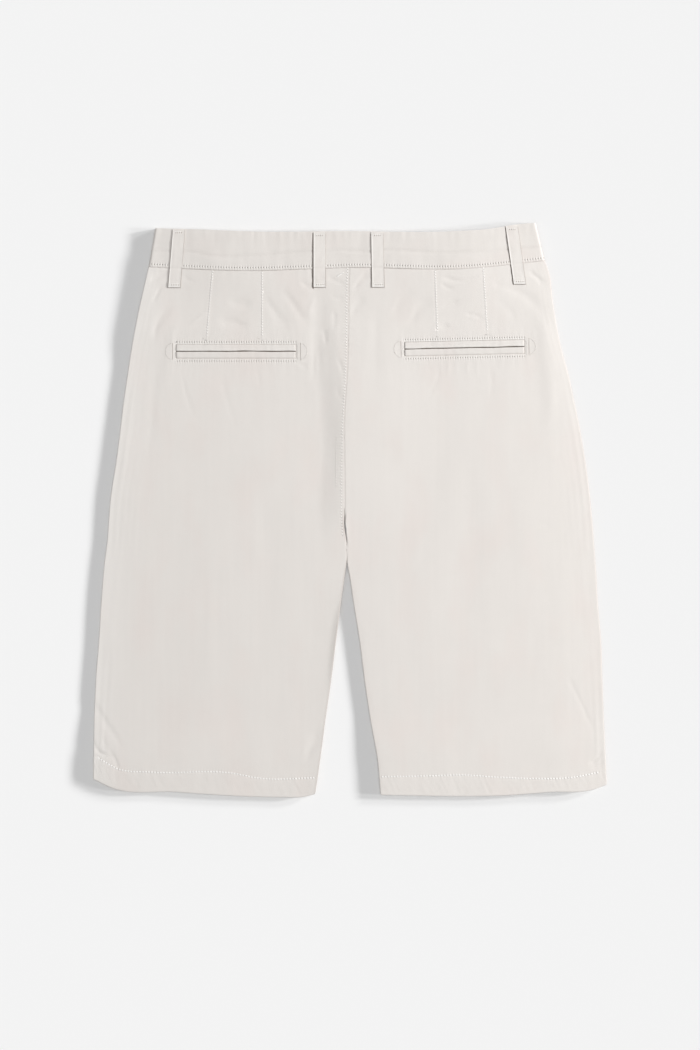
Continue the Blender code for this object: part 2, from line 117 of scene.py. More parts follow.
# Lines across the shorts, as (x, y) from left to right
WAIST_SEAM = (
    (-210.6, 255.7), (-170.0, 253.6), (-104.0, 251.5), (-51.0, 252.9), (0.0, 254.6), (127.0, 253.9),
    (173.0, 258.4), (206.0, 262.4),
)
BAND_TOP = (
    (-203.8, 295.6), (-165.9, 294.6), (-103.9, 291.9), (0.0, 292.2), (106.1, 292.0), (146.0, 294.6),
    (179.6, 300.0), (196.4, 301.2),
)
HEM_EDGE = (
    (-268.8, -283.0), (-262.5, -286.1), (-254.1, -290.3), (-181.7, -296.6), (-97.7, -301.5),
    (-70.0, -302.0), (-48.3, -301.6), (-35.5, -298.7), (33.0, -299.8), (170.1, -299.8),
    (212.1, -296.6), (254.1, -294.5), (270.8, -289.0),
)
HEM_STITCH = {
    "left": (
        (-266.7, -258.8), (-242.6, -272.1), (-207.9, -275.6), (-122.9, -276.7), (-94.5, -281.9),
        (-32.6, -281.4),
    ),
    "right": (
        (30.5, -280.5), (84.0, -279.5), (121.8, -278.6), (150.2, -280.5), (196.3, -282.3),
        (231.0, -281.4), (267.8, -274.6),
    ),
}
BAND_TOP_LEFT_X, BAND_TOP_RIGHT_X = BAND_TOP[0][0], BAND_TOP[-1][0]

# How far the back sinks between the band, the fly and the hem, and how it rounds off at its sides
SETTLE = 1.2
SETTLE_FROM_WAIST = (60.0, 110.0)
SETTLE_FROM_HEM = (38.0, 90.0)
# Slow swells of the back, as (drop, height): how much it bulges beside its right edge and from how far
# in, and how far its other edges stand up on their seam allowances
RIGHT_SWELL = ((20, 0.5), (80, 1.2), (200, 0.95), (300, 0.6), (400, 0.45), (556, 0.4))
RIGHT_SWELL_REACH = ((20, 22), (120, 26), (200, 42), (556, 42))
LEFT_RISE = ((20, 0.1), (80, 0.0), (240, -0.1), (380, -0.3), (556, -0.3))
LEFT_RISE_REACH = 48.0
INNER_RISE = {"left": (0.9, 42.0), "right": (-0.3, 7.0)}
# The bulk of the fly and the centre seam, which the back lies over
Bulk = namedtuple("Bulk", "drop foot top end height")
CENTRE_BULK = (
    Bulk(20, -29, -14, 90, 0.0),
    Bulk(52, -29, -14, 90, 0.5),
    Bulk(94, -33, -6, 110, 2.2),
    Bulk(141, -32, -3, 120, 3.0),
    Bulk(194, -29, -3, 100, 2.4),
    Bulk(241, -34, -6, 80, 2.1),
    Bulk(285, -34, -6, 70, 0.6),
    Bulk(320, -34, -6, 60, 0.0),
)

# Fly, as the fronts have it
FLY_DROP = 140.0
FLY_END_DROP = 158.0
FLY_FLAT_DROP = 204.0
FLY_LAP = 6.0
FLY_UNDERLAP = 2.0
FLY_CLEARANCE = 3.0
FLY_STEP = 8.0
FLY_MIDDLE = -8.0
FLY_ROWS = (31.0, 36.0)  # how far its two rows of stitching lie inside the lap's edge
FLY_ROWS_TOP_Y = 244.0
FLY_CURVE = 34.0  # height of the rows' curve at their foot
ZIP_WIDTH = 24.0
ZIP_TOP_DROP = 3.0
ZIP_CORD = 0.15  # how far the cord in the middle of the tape stands up
COIL_PITCH, COIL_RAISED, COIL_LEAN = 1.25, 0.22, 0.35  # the last in radians
COIL_HALF_SIZE = (1.9, 0.5, 0.28)
BAND_UNDERLAP = 30.0

# The finer cloth of the looks: how thick it is, and how its edges meet
SHELL = 0.8
SEAM_SLIT = 0.45  # from the middle of a rolled seam to the cloth's edge
SEAM_TUCK = 0.1
CLEAR = 0.1  # between layers of it that lie on each other
OVER_FLY = 1.25  # the height of the fly under the back
# Where the legs come apart at the end of the seam, and where they touch again below it, as (drop, reach, gap)
CROTCH_GAPS = ((274.5, 6.2, 0.54), (299.0, 10.0, -0.3))
CROTCH_LEAN = (270.0, 14.0, 0.8)  # there the opening lies this far to the left of the seam's line
LEGS_TOUCH = (298.0, 11.0, 1.0)
CROTCH_STEP = 0.4  # how much higher the right edge lies at the opening
SEAM_TUCK_ANGLE = math.radians(22)
RIM_ANGLE = math.radians(60)  # rims sharper than this are rounded
FOLD_WIDTH = 0.3  # how far a pressed edge is turned over
FOLD_SHADE = 0.75  # painted shade on the walls of the edges that face the light
FOLD_PAINTED_LIGHT = 0.7  # painted light on the walls of the edges that face away from the light
FOLD_RIM = (0.46, 0.68)  # from the outline in, where the top of a pressed edge turns into its wall
LEFT_PAINTED_LIGHT = (0.32, 60.0)  # painted light that makes the cloth lighter by its left edge, and how far in it reaches
WAIST_TUCK_DEPTH = 0.9  # how far the panels dip under the band
WAIST_TUCK_REACH = 0.9
BAND_OVERLAP = 0.5
ROLL_ANGLES = np.radians([0, 12, 26, 42, 58, 74, 90, 90])
ROLL_ON = np.array([0, 0, 0, 0, 0, 0, 0, 0.45])  # the last column keeps the rest of the cloth flat
ROLL_STEP = 0.34  # spacing of the same columns where the edge is a flat seam
FIRST_INSIDE = 2.5
PANEL_COLUMNS = {BACK: 150, FRONT: 60}  # besides those at its edges
HEM_ROLL_ANGLES = tuple(math.radians(a) for a in (30, 60, 90, 120, 150, 180))

# A soft ridge or, with a negative height, a trough, through the given points; the side on the right of its
# way is as many times as wide as soft says. The tables below hold the values of one crease in each row.
Crease = namedtuple("Crease", "height width points soft", defaults=(1.0,))
POCKET_FOLDS_X = (96.6, 105.0, 113.4, 125.0, 135.5)  # short folds below the right pocket
BACK_CREASES = (
    # by the centre seam
    (-0.55, 6.0, ((-31, 240), (-33, 205), (-35, 165), (-36, 125))),
    (-0.35, 1.8, ((-24, 244), (-13, 240), (-3, 236))),
    (-0.4, 2.4, ((3, 228), (11, 240), (21, 250))),
    (-0.22, 1.6, ((-20, 226), (-14, 222), (-3, 222))),
    (-0.35, 3.6, ((2, 202), (8, 214), (17, 226))),
    (-0.3, 2.0, ((-16, 212), (-15, 198), (-17, 186))),
    (-0.35, 2.2, ((-27, 192), (-25, 182), (-24, 172))),
    (-0.3, 1.8, ((-12, 160), (-8, 150), (-5, 141))),
    (-0.3, 1.8, ((-14, 128), (-9, 119), (-5, 112))),
    (-0.2, 7.0, ((24, 222), (28, 190), (27, 150), (26, 110))),
    # by the belt loops
    (-0.3, 1.5, ((-52, 241), (-47, 237), (-40, 233))),
    (-0.22, 1.2, ((-44, 231.5), (-37, 230.4), (-28, 231.5))),
    (-0.4, 2.4, ((-211, 240), (-200, 245), (-189, 250))),
    (-0.2, 1.8, ((-176, 246), (-168, 241), (-160, 238))),
    (-0.45, 2.6, ((186, 252), (196, 245), (207, 235))),
    (-0.2, 2.0, ((163, 243), (157, 238), (150, 236))),
    (0.2, 3.0, ((-36, 226), (-40, 214), (-43, 199))),
    # between the darts
    (-0.42, 4.5, ((-129, 219), (-115, 216.5), (-100, 215))),
    (-0.46, 4.5, ((-141, 200), (-128, 197.5), (-104, 192))),
    (-0.52, 1.8, ((93, 245), (117, 240), (139, 246))),
    (-0.34, 1.6, ((95, 238), (104, 233), (112, 232))),
    (-0.5, 1.1, ((120, 206), (131, 204.4), (142, 201.6))),
    (-0.38, 3.0, ((93, 209), (103, 215), (119, 220))),
    (-0.4, 1.8, ((93, 190), (99, 192.5), (108, 194))),
    # beside the darts
    (0.3, 1.8, ((-142, 203), (-152, 204.5), (-161, 199), (-171, 193))),
    (-0.4, 3.6, ((-182, 216), (-196, 204), (-203, 190), (-205, 174))),
    (-0.34, 1.8, ((-195, 236), (-201, 228), (-206, 216))),
    (-0.32, 4.6, ((-93, 229), (-78, 208), (-62, 186))),
    (-0.34, 5.0, ((-74, 236), (-57, 214), (-39, 186))),
    (-0.38, 4.6, ((148, 236), (178, 229), (199, 212), (208, 186))),
    (-0.2, 4.0, ((150, 222), (166, 212), (176, 196))),
    (-0.32, 4.6, ((88, 226), (74, 211), (60, 190))),
    (-0.2, 4.0, ((70, 233), (54, 218), (44, 200))),
    # hips
    (-0.15, 6.0, ((-203, 176), (-207, 94), (-208, 40))),
    (0.18, 5.0, ((-178, 210), (-188, 170), (-192, 110))),
    (0.45, 8.0, ((194, 236), (203, 198), (211, 150), (212, 112), (206, 70))),
    # below the pockets
    (-0.17, 1.6, ((-177, 146), (-170, 118), (-160, 92))),
    (-0.12, 1.5, ((-97, 150), (-95, 138), (-92, 126))),
    (-0.12, 3.6, ((-136, 150), (-130, 122), (-118, 84))),
    (-0.2, 1.5, ((97, 156), (92, 134), (79, 113))),
    (-0.12, 3.4, ((146, 156), (150, 134), (147, 108))),
    *((0.13, 1.3, ((x, 160), (x - 0.6, 150), (x - 1.4, 140))) for x in POCKET_FOLDS_X),
    (-0.25, 2.2, ((-56, 157), (-49, 152), (-42, 150))),
    (-0.22, 2.2, ((-57, 160), (-48, 158), (-38, 160))),
    # legs
    (-0.22, 1.8, ((193, -18), (203, -15), (213, -14))),
    (0.7, 3.2, ((-6, -86), (-10, -110), (-14, -140), (-18, -172), (-22, -196))),
    (-0.4, 5.0, ((-30, -226), (-38, -247), (-48, -266))),
    (-0.18, 0.9, ((226, -165), (233, -179), (245, -204), (256, -228), (260, -240)), 4.0),
    (0.15, 12.0, ((-150, 40), (-146, -90), (-150, -230))),
    (-0.2, 14.0, ((-95, 70), (-88, -60), (-98, -215))),
    (-0.2, 15.0, ((120, 90), (128, -40), (120, -210))),
    (0.18, 13.0, ((176, 60), (186, -80), (180, -230))),
    (-0.3, 1.2, ((-277, -187), (-266, -205), (-253, -225), (-242, -241), (-234, -254)), 4.0),
    (-0.34, 1.1, ((-253, -248), (-248.7, -256), (-245, -262), (-242, -271), (-240, -277)), 3.0),
    (-0.4, 1.2, ((-272, -236), (-266.6, -247.7), (-262.9, -253.4), (-255.5, -257.7), (-247, -260)), 2.0),
    (-0.22, 1.2, ((-259, -235), (-256.5, -244), (-254.5, -252)), 2.0),
    (-0.35, 2.0, ((266, -252), (260, -262), (250, -268))),
    (-0.3, 1.8, ((268, -262), (262, -268), (254, -272))),
)
FRONT_CREASES = (
    (0.45, 5.0, ((-40, 216), (-58, 176), (-70, 110))),
    (0.4, 6.0, ((46, 214), (66, 170), (74, 96))),
    (0.4, 7.0, ((-20, 60), (-60, 10), (-90, -70))),
    (0.45, 6.0, ((16, 56), (50, 8), (84, -60))),
    (0.35, 9.0, ((-150, 150), (-160, 20), (-150, -150))),
    (0.35, 9.0, ((152, 160), (158, 10), (154, -170))),
    (0.3, 4.0, ((-236, -150), (-220, -190), (-196, -212))),
    (0.3, 4.0, ((238, -120), (214, -160), (206, -205))),
    (0.3, 8.0, ((-96, -120), (-104, -180), (-98, -250))),
    (0.3, 8.0, ((102, -110), (96, -190), (104, -255))),
)
FRONT_CREASE_LIMIT = 0.5
CREASE_GAIN = 1.25

# Darts of the back, from the waist seam to the pocket, as (top, foot)
DARTS = {
    "left": (((-143.8, 251.0), (-150.2, 177.0)), ((-91.9, 252.0), (-91.9, 177.0))),
    "right": (((89.5, 253.0), (92.2, 181.0)), ((140.1, 254.0), (144.6, 182.0))),
}

# Back pockets
Pocket = namedtuple("Pocket", "side x y tilt")
POCKETS = (
    Pocket("left", -118.9, 166.4, 0.0),
    Pocket("right", 121.1, 170.0, 1.2),
)
WINDOW_WIDTH = 126.0
WINDOW_HEIGHT = 14.5
FACING_MARGIN = 5.0
FACING_CLOTH = 0.5  # of the facing and the lips

Loop = namedtuple("Loop", "name layer top_x top_y foot_x foot_y lean")
LOOPS = (
    Loop("back_outer_left", BACK, -178.6, 294.3, -183.6, 233.2, 0.4),
    Loop("back_inner_left", BACK, -31.0, 291.0, -31.0, 233.3, 1.3),
    Loop("back_inner_right", BACK, 29.4, 291.0, 30.5, 233.3, 0.6),
    Loop("back_outer_right", BACK, 170.5, 297.6, 179.2, 236.6, 0.85),
    Loop("front_left", FRONT, -112.0, 285.0, -114.0, 234.0, 0.3),
    Loop("front_right", FRONT, 112.0, 285.0, 114.0, 234.0, 0.3),
)
LOOP_WIDTH = 12.6
# The rows of a loop, from its top to its foot, and its columns, as shares of its length and half its width
LOOP_ROWS = np.array([0, 0.012, 0.03, 0.055, *np.linspace(0.08, 0.9, 40), 0.925, 0.95, 0.972, 0.99, 1.0])
LOOP_COLUMNS = np.array([-1, -0.97, -0.9, -0.78, -0.55, -0.28, 0, 0.28, 0.55, 0.78, 0.9, 0.97, 1])
# How far it stands off what it lies on: the most, and the share of that at each share of its length
STAND_OFF = {BACK: 0.12, FRONT: 0.4}
LOOP_ARCH = (
    (0.0, 0.0), (0.07, 0.0), (0.2, 0.75), (0.4, 1.0), (0.6, 1.0), (0.8, 0.7), (0.93, 0.0), (1.0, 0.0),
)
LOOP_WALL = 0.8
LOOP_GROOVE = 0.5  # how deep the groove beside a loop is pressed in, where it stands off; shade is painted along it

BUTTON_FROM_LAP_EDGE = 14.0
THREAD_HALF_SIZE, THREAD_SPACING, THREAD_Z = (2.3, 0.2, 0.2), 0.32, 0.66  # of the cross on the button
EYE_FROM_MIDDLE, EYE_RADIUS, EYE_Z = 2.1, 0.9, 0.69  # its four holes, drawn as dark discs of painted shade
BUTTONHOLE, BUTTONHOLE_LIP = (-18.6, -3.4), 1.1  # its ends from the button's middle, and its lips from it

# Stitching
STEEPEST_SEWN = 0.93  # on steeper cloth, at the turn of an edge, no stitch is laid
STITCH_WIDTH = 0.33  # half the width of a thread's stitch as it lies on the cloth
STITCH_HEIGHT = 0.26
STITCH_RAISED = 0.25 * STITCH_HEIGHT
STITCH_TURNED, STITCH_STRETCHED = 0.09, 0.1  # at most, in radians and as a share of its length
STITCH_CLEARANCE = 0.015  # between a stitch and the floor
HOLE_RAISED = 0.035
NEEDLE_FROM = 0.05  # height in metres from which the cloth is searched for
STITCH_FILL = 0.33  # half a stitch's length as a share of the spacing
HOLE_RADIUS = 0.36
SEAM_PITCH = 2.8
CENTRE_PITCH = 3.1
POCKET_PITCH = 2.6
HEM_PITCH = 3.1
TACK_PITCH = 0.75
LOOP_TACK_PITCH = 1.9
ARC_PITCH, COLUMN_PITCH = 1.5, 1.6  # of the tacks at a pocket's ends
ROW_REACH = 4.5
WAIST_ROW = 2.3  # how far the waist's edge-stitching lies above the seam
POCKET_ROW_ABOVE = 2.5
POCKET_ROW_BELOW = 3.0
POCKET_END_LINES = (-66.6, 67.7)
POCKET_ARC = (7.2, 8.4)  # how far the tack at a pocket's end bends out, and its half height
POCKET_COLUMN, POCKET_COLUMN_IN = (6.5, -9.0), 2.4  # its ends and how far inside the end line it lies
SECOND_ROW_DROPS, SECOND_ROW_LEFT = (176.0, 232.0), 5.4  # of the centre seam
CENTRE_TACK = ((-12.6, 244.6), (-9.8, 246.4), (-5.6, 249.0))
LOOP_TACKS = (-3.6, 4.6), (2.6, 4.9)  # from a loop's top and foot, and their half lengths
LOOP_TACK_GAP = 1.2


# ---------------------------------------------------------------- shape of the garment


def ramp(value, start, end):
    """0 at start and before, 1 at end and after, smooth between."""
    share = np.clip((value - start) / (end - start), 0.0, 1.0)
    return share * share * (3.0 - 2.0 * share)


def fade(value, start, end):
    return 1.0 - ramp(value, start, end)


def bump(distance, width):
    """A soft bump, 1 in its middle."""
    return np.exp(-((distance / width) ** 2))


def down(drop, place):
    """1 at this drop or height, falling off at both sides of it."""
    return bump(drop - place[0], place[1])


def tail(distance, reach, start=0.0):
    """1 up to the start, falling off beyond it."""
    return np.exp(-np.maximum(distance - start, 0.0) / reach)


def on_curve(points, at):
    """Values of the smooth curve through the given (place, value) points; it is level past its ends."""
    places, values = np.array(points, float).T
    slopes = np.gradient(values, places)
    at = np.clip(at, places[0], places[-1])
    i = np.clip(np.searchsorted(places, at, side="right") - 1, 0, len(places) - 2)
    span = places[i + 1] - places[i]
    t = (at - places[i]) / span
    level = values[i] + (values[i + 1] - values[i]) * t * t * (3 - 2 * t)
    return level + span * (slopes[i] * t * (1 - t) ** 2 + slopes[i + 1] * t * t * (t - 1))


def on_section(column, drop):
    return on_curve([(s.drop, getattr(s, column)) for s in SECTIONS], drop)


def waver(x, y, width, length, seed):
    """Smooth unevenness from about -1 to 1, with bumps this wide and long; the same at each run."""
    x, y = np.broadcast_arrays(x, y)
    values = [noise.noise((a / width, b / length, seed)) for a, b in zip(x.ravel(), y.ravel())]
    return np.array(values).reshape(x.shape)


def front_dip(x):
    half = (BAND_TOP_RIGHT_X - BAND_TOP_LEFT_X) / 2
    middle = (BAND_TOP_RIGHT_X + BAND_TOP_LEFT_X) / 2
    return FRONT_RISE_LOSS * np.maximum(0.0, 1.0 - ((x - middle) / half) ** 2)


def waist_line(x, layer):
    return on_curve(WAIST_SEAM, x) - (front_dip(x) if layer == FRONT else 0.0)


def band_top_line(x, layer):
    return on_curve(BAND_TOP, x) - (front_dip(x) if layer == FRONT else 0.0)


def y_of(x, drop, layer):
    waist_bend = (waist_line(x, layer) - WAIST_Y) * fade(drop, 0.0, WAIST_BEND_FADE)
    hem_bend = on_curve(HEM_EDGE, x) - (WAIST_Y - HEM_DROP)
    return WAIST_Y - drop + waist_bend + hem_bend * ramp(drop, HEM_BEND_START, HEM_DROP)


def sag(x):
    """How far the waist sinks here: the button and the front belt loops hold up only its middle."""
    return (BUTTON_THICKNESS + GAP) * ramp(np.abs(x), *SAG_FROM_MIDDLE)


def rest_height(layer, drop, x):
    """Height of the middle of the cloth, without folds."""
    low, high = (BACK_MID, BAND_BACK_MID) if layer == BACK else (FRONT_MID, BAND_FRONT_MID)
    return low + (high - sag(x) - low) * fade(drop, 0.0, WAIST_SLOPE)


def back_rest(drop, x):
    """Height of the middle of the back's cloth where it has sunk onto the front, without folds."""
    sunk = ramp(drop, *SETTLE_FROM_WAIST) * ramp(HEM_DROP - drop, *SETTLE_FROM_HEM)
    return rest_height(BACK, drop, x) - SETTLE * sunk


def centre_bulk(x, drop):
    """The ridge that the fly and the centre seam make under the back; its left slope is the long one."""
    foot, top, end, high = (
        on_curve([(bulk.drop, getattr(bulk, word)) for bulk in CENTRE_BULK], drop)
        for word in ("foot", "top", "end", "height")
    )
    return np.maximum(high, 0.0) * ramp(x, foot, top) * fade(x, top, end)


def near_edge(distance, reach):
    """1 on an edge, falling to 0 at its reach with an even change of slope; 0 outside the cloth."""
    return np.where(distance >= 0, np.clip(1.0 - distance / reach, 0.0, 1.0) ** 2, 1.0)


def swell(x, drop):
    """The slow rise and fall of the back between its edges."""
    left = x - on_section("left_side", drop)
    right = on_section("right_side", drop) - x
    bulge = on_curve(RIGHT_SWELL, drop) * (1.0 - near_edge(right, on_curve(RIGHT_SWELL_REACH, drop)))
    height = bulge * fade(right, 55.0, 190.0)
    height = height + on_curve(LEFT_RISE, drop) * near_edge(left, LEFT_RISE_REACH)
    legs = ramp(drop, INSEAM_DROP - 3.0, INSEAM_DROP + 40.0)
    inner_left = on_section("left_inner", drop) - x
    inner_right = x - on_section("right_inner", drop)
    on_left = inner_left > inner_right
    (left_high, left_reach), (right_high, right_reach) = INNER_RISE["left"], INNER_RISE["right"]
    left_rise = left_high * near_edge(inner_left, left_reach)
    rise = np.where(on_left, left_rise, right_high * near_edge(inner_right, right_reach))
    step = CROTCH_STEP * down(drop, CROTCH_LEAN)
    lower, higher = -near_edge(inner_left, 4.0), 0.8 * near_edge(inner_right, 6.0)
    parted = step * np.where(on_left, lower, higher)
    return height + legs * rise + parted


def smooth_line(points, steps=8):
    """The line through the points again, with more of them on a smooth curve."""
    points = np.array(points, float)
    at = np.arange(len(points))
    fine = np.linspace(0, len(points) - 1, (len(points) - 1) * steps + 1)
    return np.stack([on_curve(list(zip(at, points[:, k])), fine) for k in (0, 1)], axis=1)


def run_lengths(line):
    return np.hypot(*np.diff(line, axis=0).T)


def from_line(line, x, y):
    """How far each place is to the left of a line, negative on its right, and how far along it."""
    line = np.array(line, float)
    lengths = run_lengths(line)
    starts = np.concatenate([[0.0], np.cumsum(lengths)])
    aside, along = np.full(x.shape, np.inf), np.zeros(x.shape)
    for start, end, length, before in zip(line[:-1], line[1:], lengths, starts):
        run = (end - start) / length
        t = np.clip((x - start[0]) * run[0] + (y - start[1]) * run[1], 0.0, length)
        far = np.hypot(x - start[0] - t * run[0], y - start[1] - t * run[1])
        left = (y - start[1]) * run[0] - (x - start[0]) * run[1]
        nearer = far < np.abs(aside)
        aside = np.where(nearer, np.copysign(far, left), aside)
        along = np.where(nearer, before + t, along)
    return aside, along


def creases(table, x, y):
    """Summed height of the creases that reach each place; each tapers off, unevenly, at its ends."""
    total = np.zeros(x.shape)
    for number, crease in enumerate(Crease(*row) for row in table):
        line = smooth_line(crease.points)
        reach = 3 * crease.width * crease.soft
        low, high = line.min(0) - reach, line.max(0) + reach
        near = (x > low[0]) & (x < high[0]) & (y > low[1]) & (y < high[1])
        if not near.any():
            continue
        aside, along = from_line(line, x[near], y[near])
        along = along / run_lengths(line).sum()
        uneven = 1 + 0.3 * np.sin(along * (5 + number % 4) + number)
        ends = ramp(along, 0.0, 0.35) * fade(along, 0.65, 1.0)
        width = crease.width * uneven * np.where(aside < 0, crease.soft, 1.0)
        total[near] += crease.height * bump(aside, width) * ends
    return total


def in_pocket(pocket, x, y):
    """Each place as seen from the pocket: along its mouth and across it."""
    cos, sin = math.cos(math.radians(pocket.tilt)), math.sin(math.radians(pocket.tilt))
    return (x - pocket.x) * cos + (y - pocket.y) * sin, (y - pocket.y) * cos - (x - pocket.x) * sin


def from_pocket(pocket, along, across):
    """The place that in_pocket gives back."""
    cos, sin = math.cos(math.radians(pocket.tilt)), math.sin(math.radians(pocket.tilt))
    return pocket.x + along * cos - across * sin, pocket.y + along * sin + across * cos


def from_window(pocket, x, y):
    """How far each place is outside the pocket's window; it is negative inside."""
    along, across = in_pocket(pocket, x, y)
    out = np.stack([np.abs(along) - WINDOW_WIDTH / 2, np.abs(across) - WINDOW_HEIGHT / 2])
    return np.hypot(*np.maximum(out, 0.0)) + np.minimum(out.max(0), 0.0)


def hem_stitch_line(x):
    return np.where(x < 0, on_curve(HEM_STITCH["left"], x), on_curve(HEM_STITCH["right"], x))


# Unevenness of the cloth as (height, width, length, seed)
BACK_SWELLS = ((0.22, 34.0, 95.0, 1.0), (0.06, 13.0, 60.0, 2.0))
BACK_STREAKS = (0.03, 5.0, 42.0, 9.0)
SEAT_WAVES = (0.06, 16.0, 11.0, 15.0)
SIDE_STREAKS = ((0.7, 3.4, 120.0, 6.0), (0.5, 7.0, 36.0, 7.0))
BAND_SWELLS = ((0.4, 24.0, 26.0, 35.0), (0.16, 8.0, 40.0, 36.0))
# How far the stitching of the centre seam lies to its left, as (drop, distance)
BESIDE_CENTRE = ((0, 2.4), (36, 2.5), (100, 2.3), (150, 1.8), (204, 3.6), (285, 4.2))


def centre_relief(x, drop):
    """The lapped centre seam of the back: its groove, its allowances to the left and its puckers."""
    seam = on_section("left_inner", drop)
    left, right = seam - x, x - seam
    present = fade(drop, *CENTRE_SEAM_END)
    stitched = on_curve(BESIDE_CENTRE, drop)
    allowance = 0.1 * ramp(left, -0.4, 1.2) * fade(left, stitched, stitched + 7.0)
    groove = -0.08 * bump(left, 0.6) + 0.03 * bump(left - stitched, 0.9)
    puckers = 0.22 * bump(np.maximum(left - 3, 0), 5.0) * waver(x, drop, 14.0, 3.4, 3.0) * (left > 0)
    beside = 0.16 * bump(np.maximum(right - 1, 0), 5.0) * (right > 0)
    puckers = puckers + beside * waver(x, drop, 12.0, 5.0, 4.0)
    return (allowance + groove + puckers) * present


def uneven(x, y, *waves):
    """Summed unevenness, from waves as (height, width, length, seed)."""
    return sum(height * waver(x, y, width, length, seed) for height, width, length, seed in waves)


def from_sides(x, drop):
    return np.minimum(x - on_section("left_side", drop), on_section("right_side", drop) - x)


def back_relief(x, y, drop):
    """All folds, seams and puckers of the back panels."""
    side = from_sides(x, drop)
    height = CREASE_GAIN * creases(BACK_CREASES, x, y)
    height += uneven(x, y, *BACK_SWELLS)
    height += uneven(x, y, BACK_STREAKS)
    height += uneven(x, y, SEAT_WAVES) * ramp(drop, 4.0, 20.0) * fade(drop, 78.0, 116.0)
    for dart in (*DARTS["left"], *DARTS["right"]):
        aside, along = from_line(dart, x, y)
        beside = tail(np.abs(aside), 5.0, 0.8) * bump(along - 38.0, 34.0)
        height += 0.14 * beside * waver(along, aside + 40.0 * dart[0][0], 4.6, 12.0, 17.0)
    height += centre_relief(x, drop)
    height += 0.16 * tail(drop, 8.0) * waver(x, drop, 4.2, 16.0, 5.0)
    streaks = uneven(side, y, *SIDE_STREAKS)
    height += 0.2 * tail(side, 14.0, 6.0) * ramp(side, 1.0, 5.0) * streaks
    above_edge = y - on_curve(HEM_EDGE, x)
    above_stitch = y - hem_stitch_line(x)
    hem = fade(above_stitch, -1.2, 1.2)
    roping = waver(x + 0.45 * above_edge, y, 2.9, 26.0, 8.0) + 0.5 * waver(x, y, 7.5, 40.0, 11.0)
    height += hem * (0.16 + 0.18 * roping * ramp(above_edge, 0.5, 6.0))
    height -= 0.12 * bump(above_stitch, 1.1)
    height += 0.1 * roping * tail(above_stitch, 3.5) * (1 - hem)
    for pocket in POCKETS:
        along, across = in_pocket(pocket, x, y)
        near = np.maximum(from_window(pocket, x, y), 0.0)
        height -= 0.16 * fade(near, 1.6, 3.4)
        height += 0.22 * tail(near, 8.0, 3.0) * waver(along, across, 3.4, 14.0, 12.0)
    return height


def waist_tuck(drop):
    return WAIST_TUCK_DEPTH * bump(np.maximum(drop, 0.0), WAIST_TUCK_REACH)


def back_height(x, y):
    """Height of the middle of the back panels' cloth, away from the rolled edges."""
    drop = waist_line(x, BACK) - y
    height = back_rest(drop, x) + swell(x, drop) + centre_bulk(x, drop) + back_relief(x, y, drop)
    over_fly = fade(np.abs(x - FLY_MIDDLE), 26.0, 36.0) * fade(drop, FLY_END_DROP, FLY_FLAT_DROP)
    lowest = rest_height(FRONT, drop, x) + FRONT_CREASE_LIMIT + SHELL + CLEAR + OVER_FLY * over_fly
    return np.maximum(height, lowest) - waist_tuck(drop)


def front_height(x, y, leg):
    """Height of the middle of the front panels' cloth; the right one climbs onto the fly lap."""
    drop = waist_line(x, FRONT) - y
    height = rest_height(FRONT, drop, x)
    folds = creases(FRONT_CREASES, x, y) + 0.25 * np.maximum(waver(x, y, 30.0, 80.0, 21.0), 0.0)
    side = from_sides(x, drop)
    free = ramp(side, 4.0, 30.0) * ramp(np.abs(x), 18.0, 40.0) * ramp(drop, 20.0, 60.0)
    free = free * ramp(HEM_DROP - drop, 24.0, 44.0)
    height = height + np.clip(folds, 0.0, FRONT_CREASE_LIMIT) * free
    if leg == "right":
        past_lap = x - on_section("left_inner", drop) - FLY_LAP
        climb = fade(past_lap, FLY_CLEARANCE, FLY_CLEARANCE + FLY_STEP)
        height = height + LAYER_PITCH * climb * fade(drop, FLY_END_DROP, FLY_FLAT_DROP)
    return height + waist_tuck(drop)


def panel_height(leg, layer, x, y):
    return back_height(x, y) if layer == BACK else front_height(x, y, leg)


def inner_edge(leg, layer, drop):
    """The panel's edge at the middle of the garment, with the fly's lap on the fronts."""
    x = on_section(leg + "_inner", drop)
    lap = fade(drop, FLY_DROP, FLY_END_DROP) if layer == FRONT else 0.0
    if leg == "left":
        return x + FLY_LAP * lap - 0.05
    return x - FLY_UNDERLAP * lap + 0.05


def drawn_in(leg, drop):
    """How far a leg's inner edge lies inside its section's edge, where the legs part and touch again."""
    gaps = sum(gap * bump(drop - middle, reach) for middle, reach, gap in CROTCH_GAPS)
    middle, reach, lean = CROTCH_LEAN
    return gaps + (lean if leg == "left" else -lean) * bump(drop - middle, reach)


def panel_rows(layer):
    """Rows of a panel's grid: its drop, how far it is turned in, and how far it is short of its level."""
    fine = 1 if layer == BACK else 2
    drops = [0.0, 0.6, 1.2, 1.9, 2.7, 3.6, 4.8, 6.4]
    drops += list(np.arange(8.2, 116.0, 1.8 * fine))
    drops += list(np.arange(118.0, 519.0, 3.0 * fine))
    drops += list(np.arange(520.0, HEM_DROP - 1.0, 1.4 * fine))
    rows = [(drop, 0.0, 0.0) for drop in drops]
    radius = LAYER_PITCH / 2
    rows.append((HEM_DROP, 0.0, SHELL / 2 + radius))
    for angle in HEM_ROLL_ANGLES:
        short = SHELL / 2 + radius * (1 - math.sin(angle))
        rows.append((HEM_DROP, radius * (1 - math.cos(angle)), short))
    rows += [(HEM_DROP - depth, LAYER_PITCH, 0.0) for depth in (4.0, 9.0, 14.0, 19.0, HEM_DEPTH)]
    return np.array(rows)


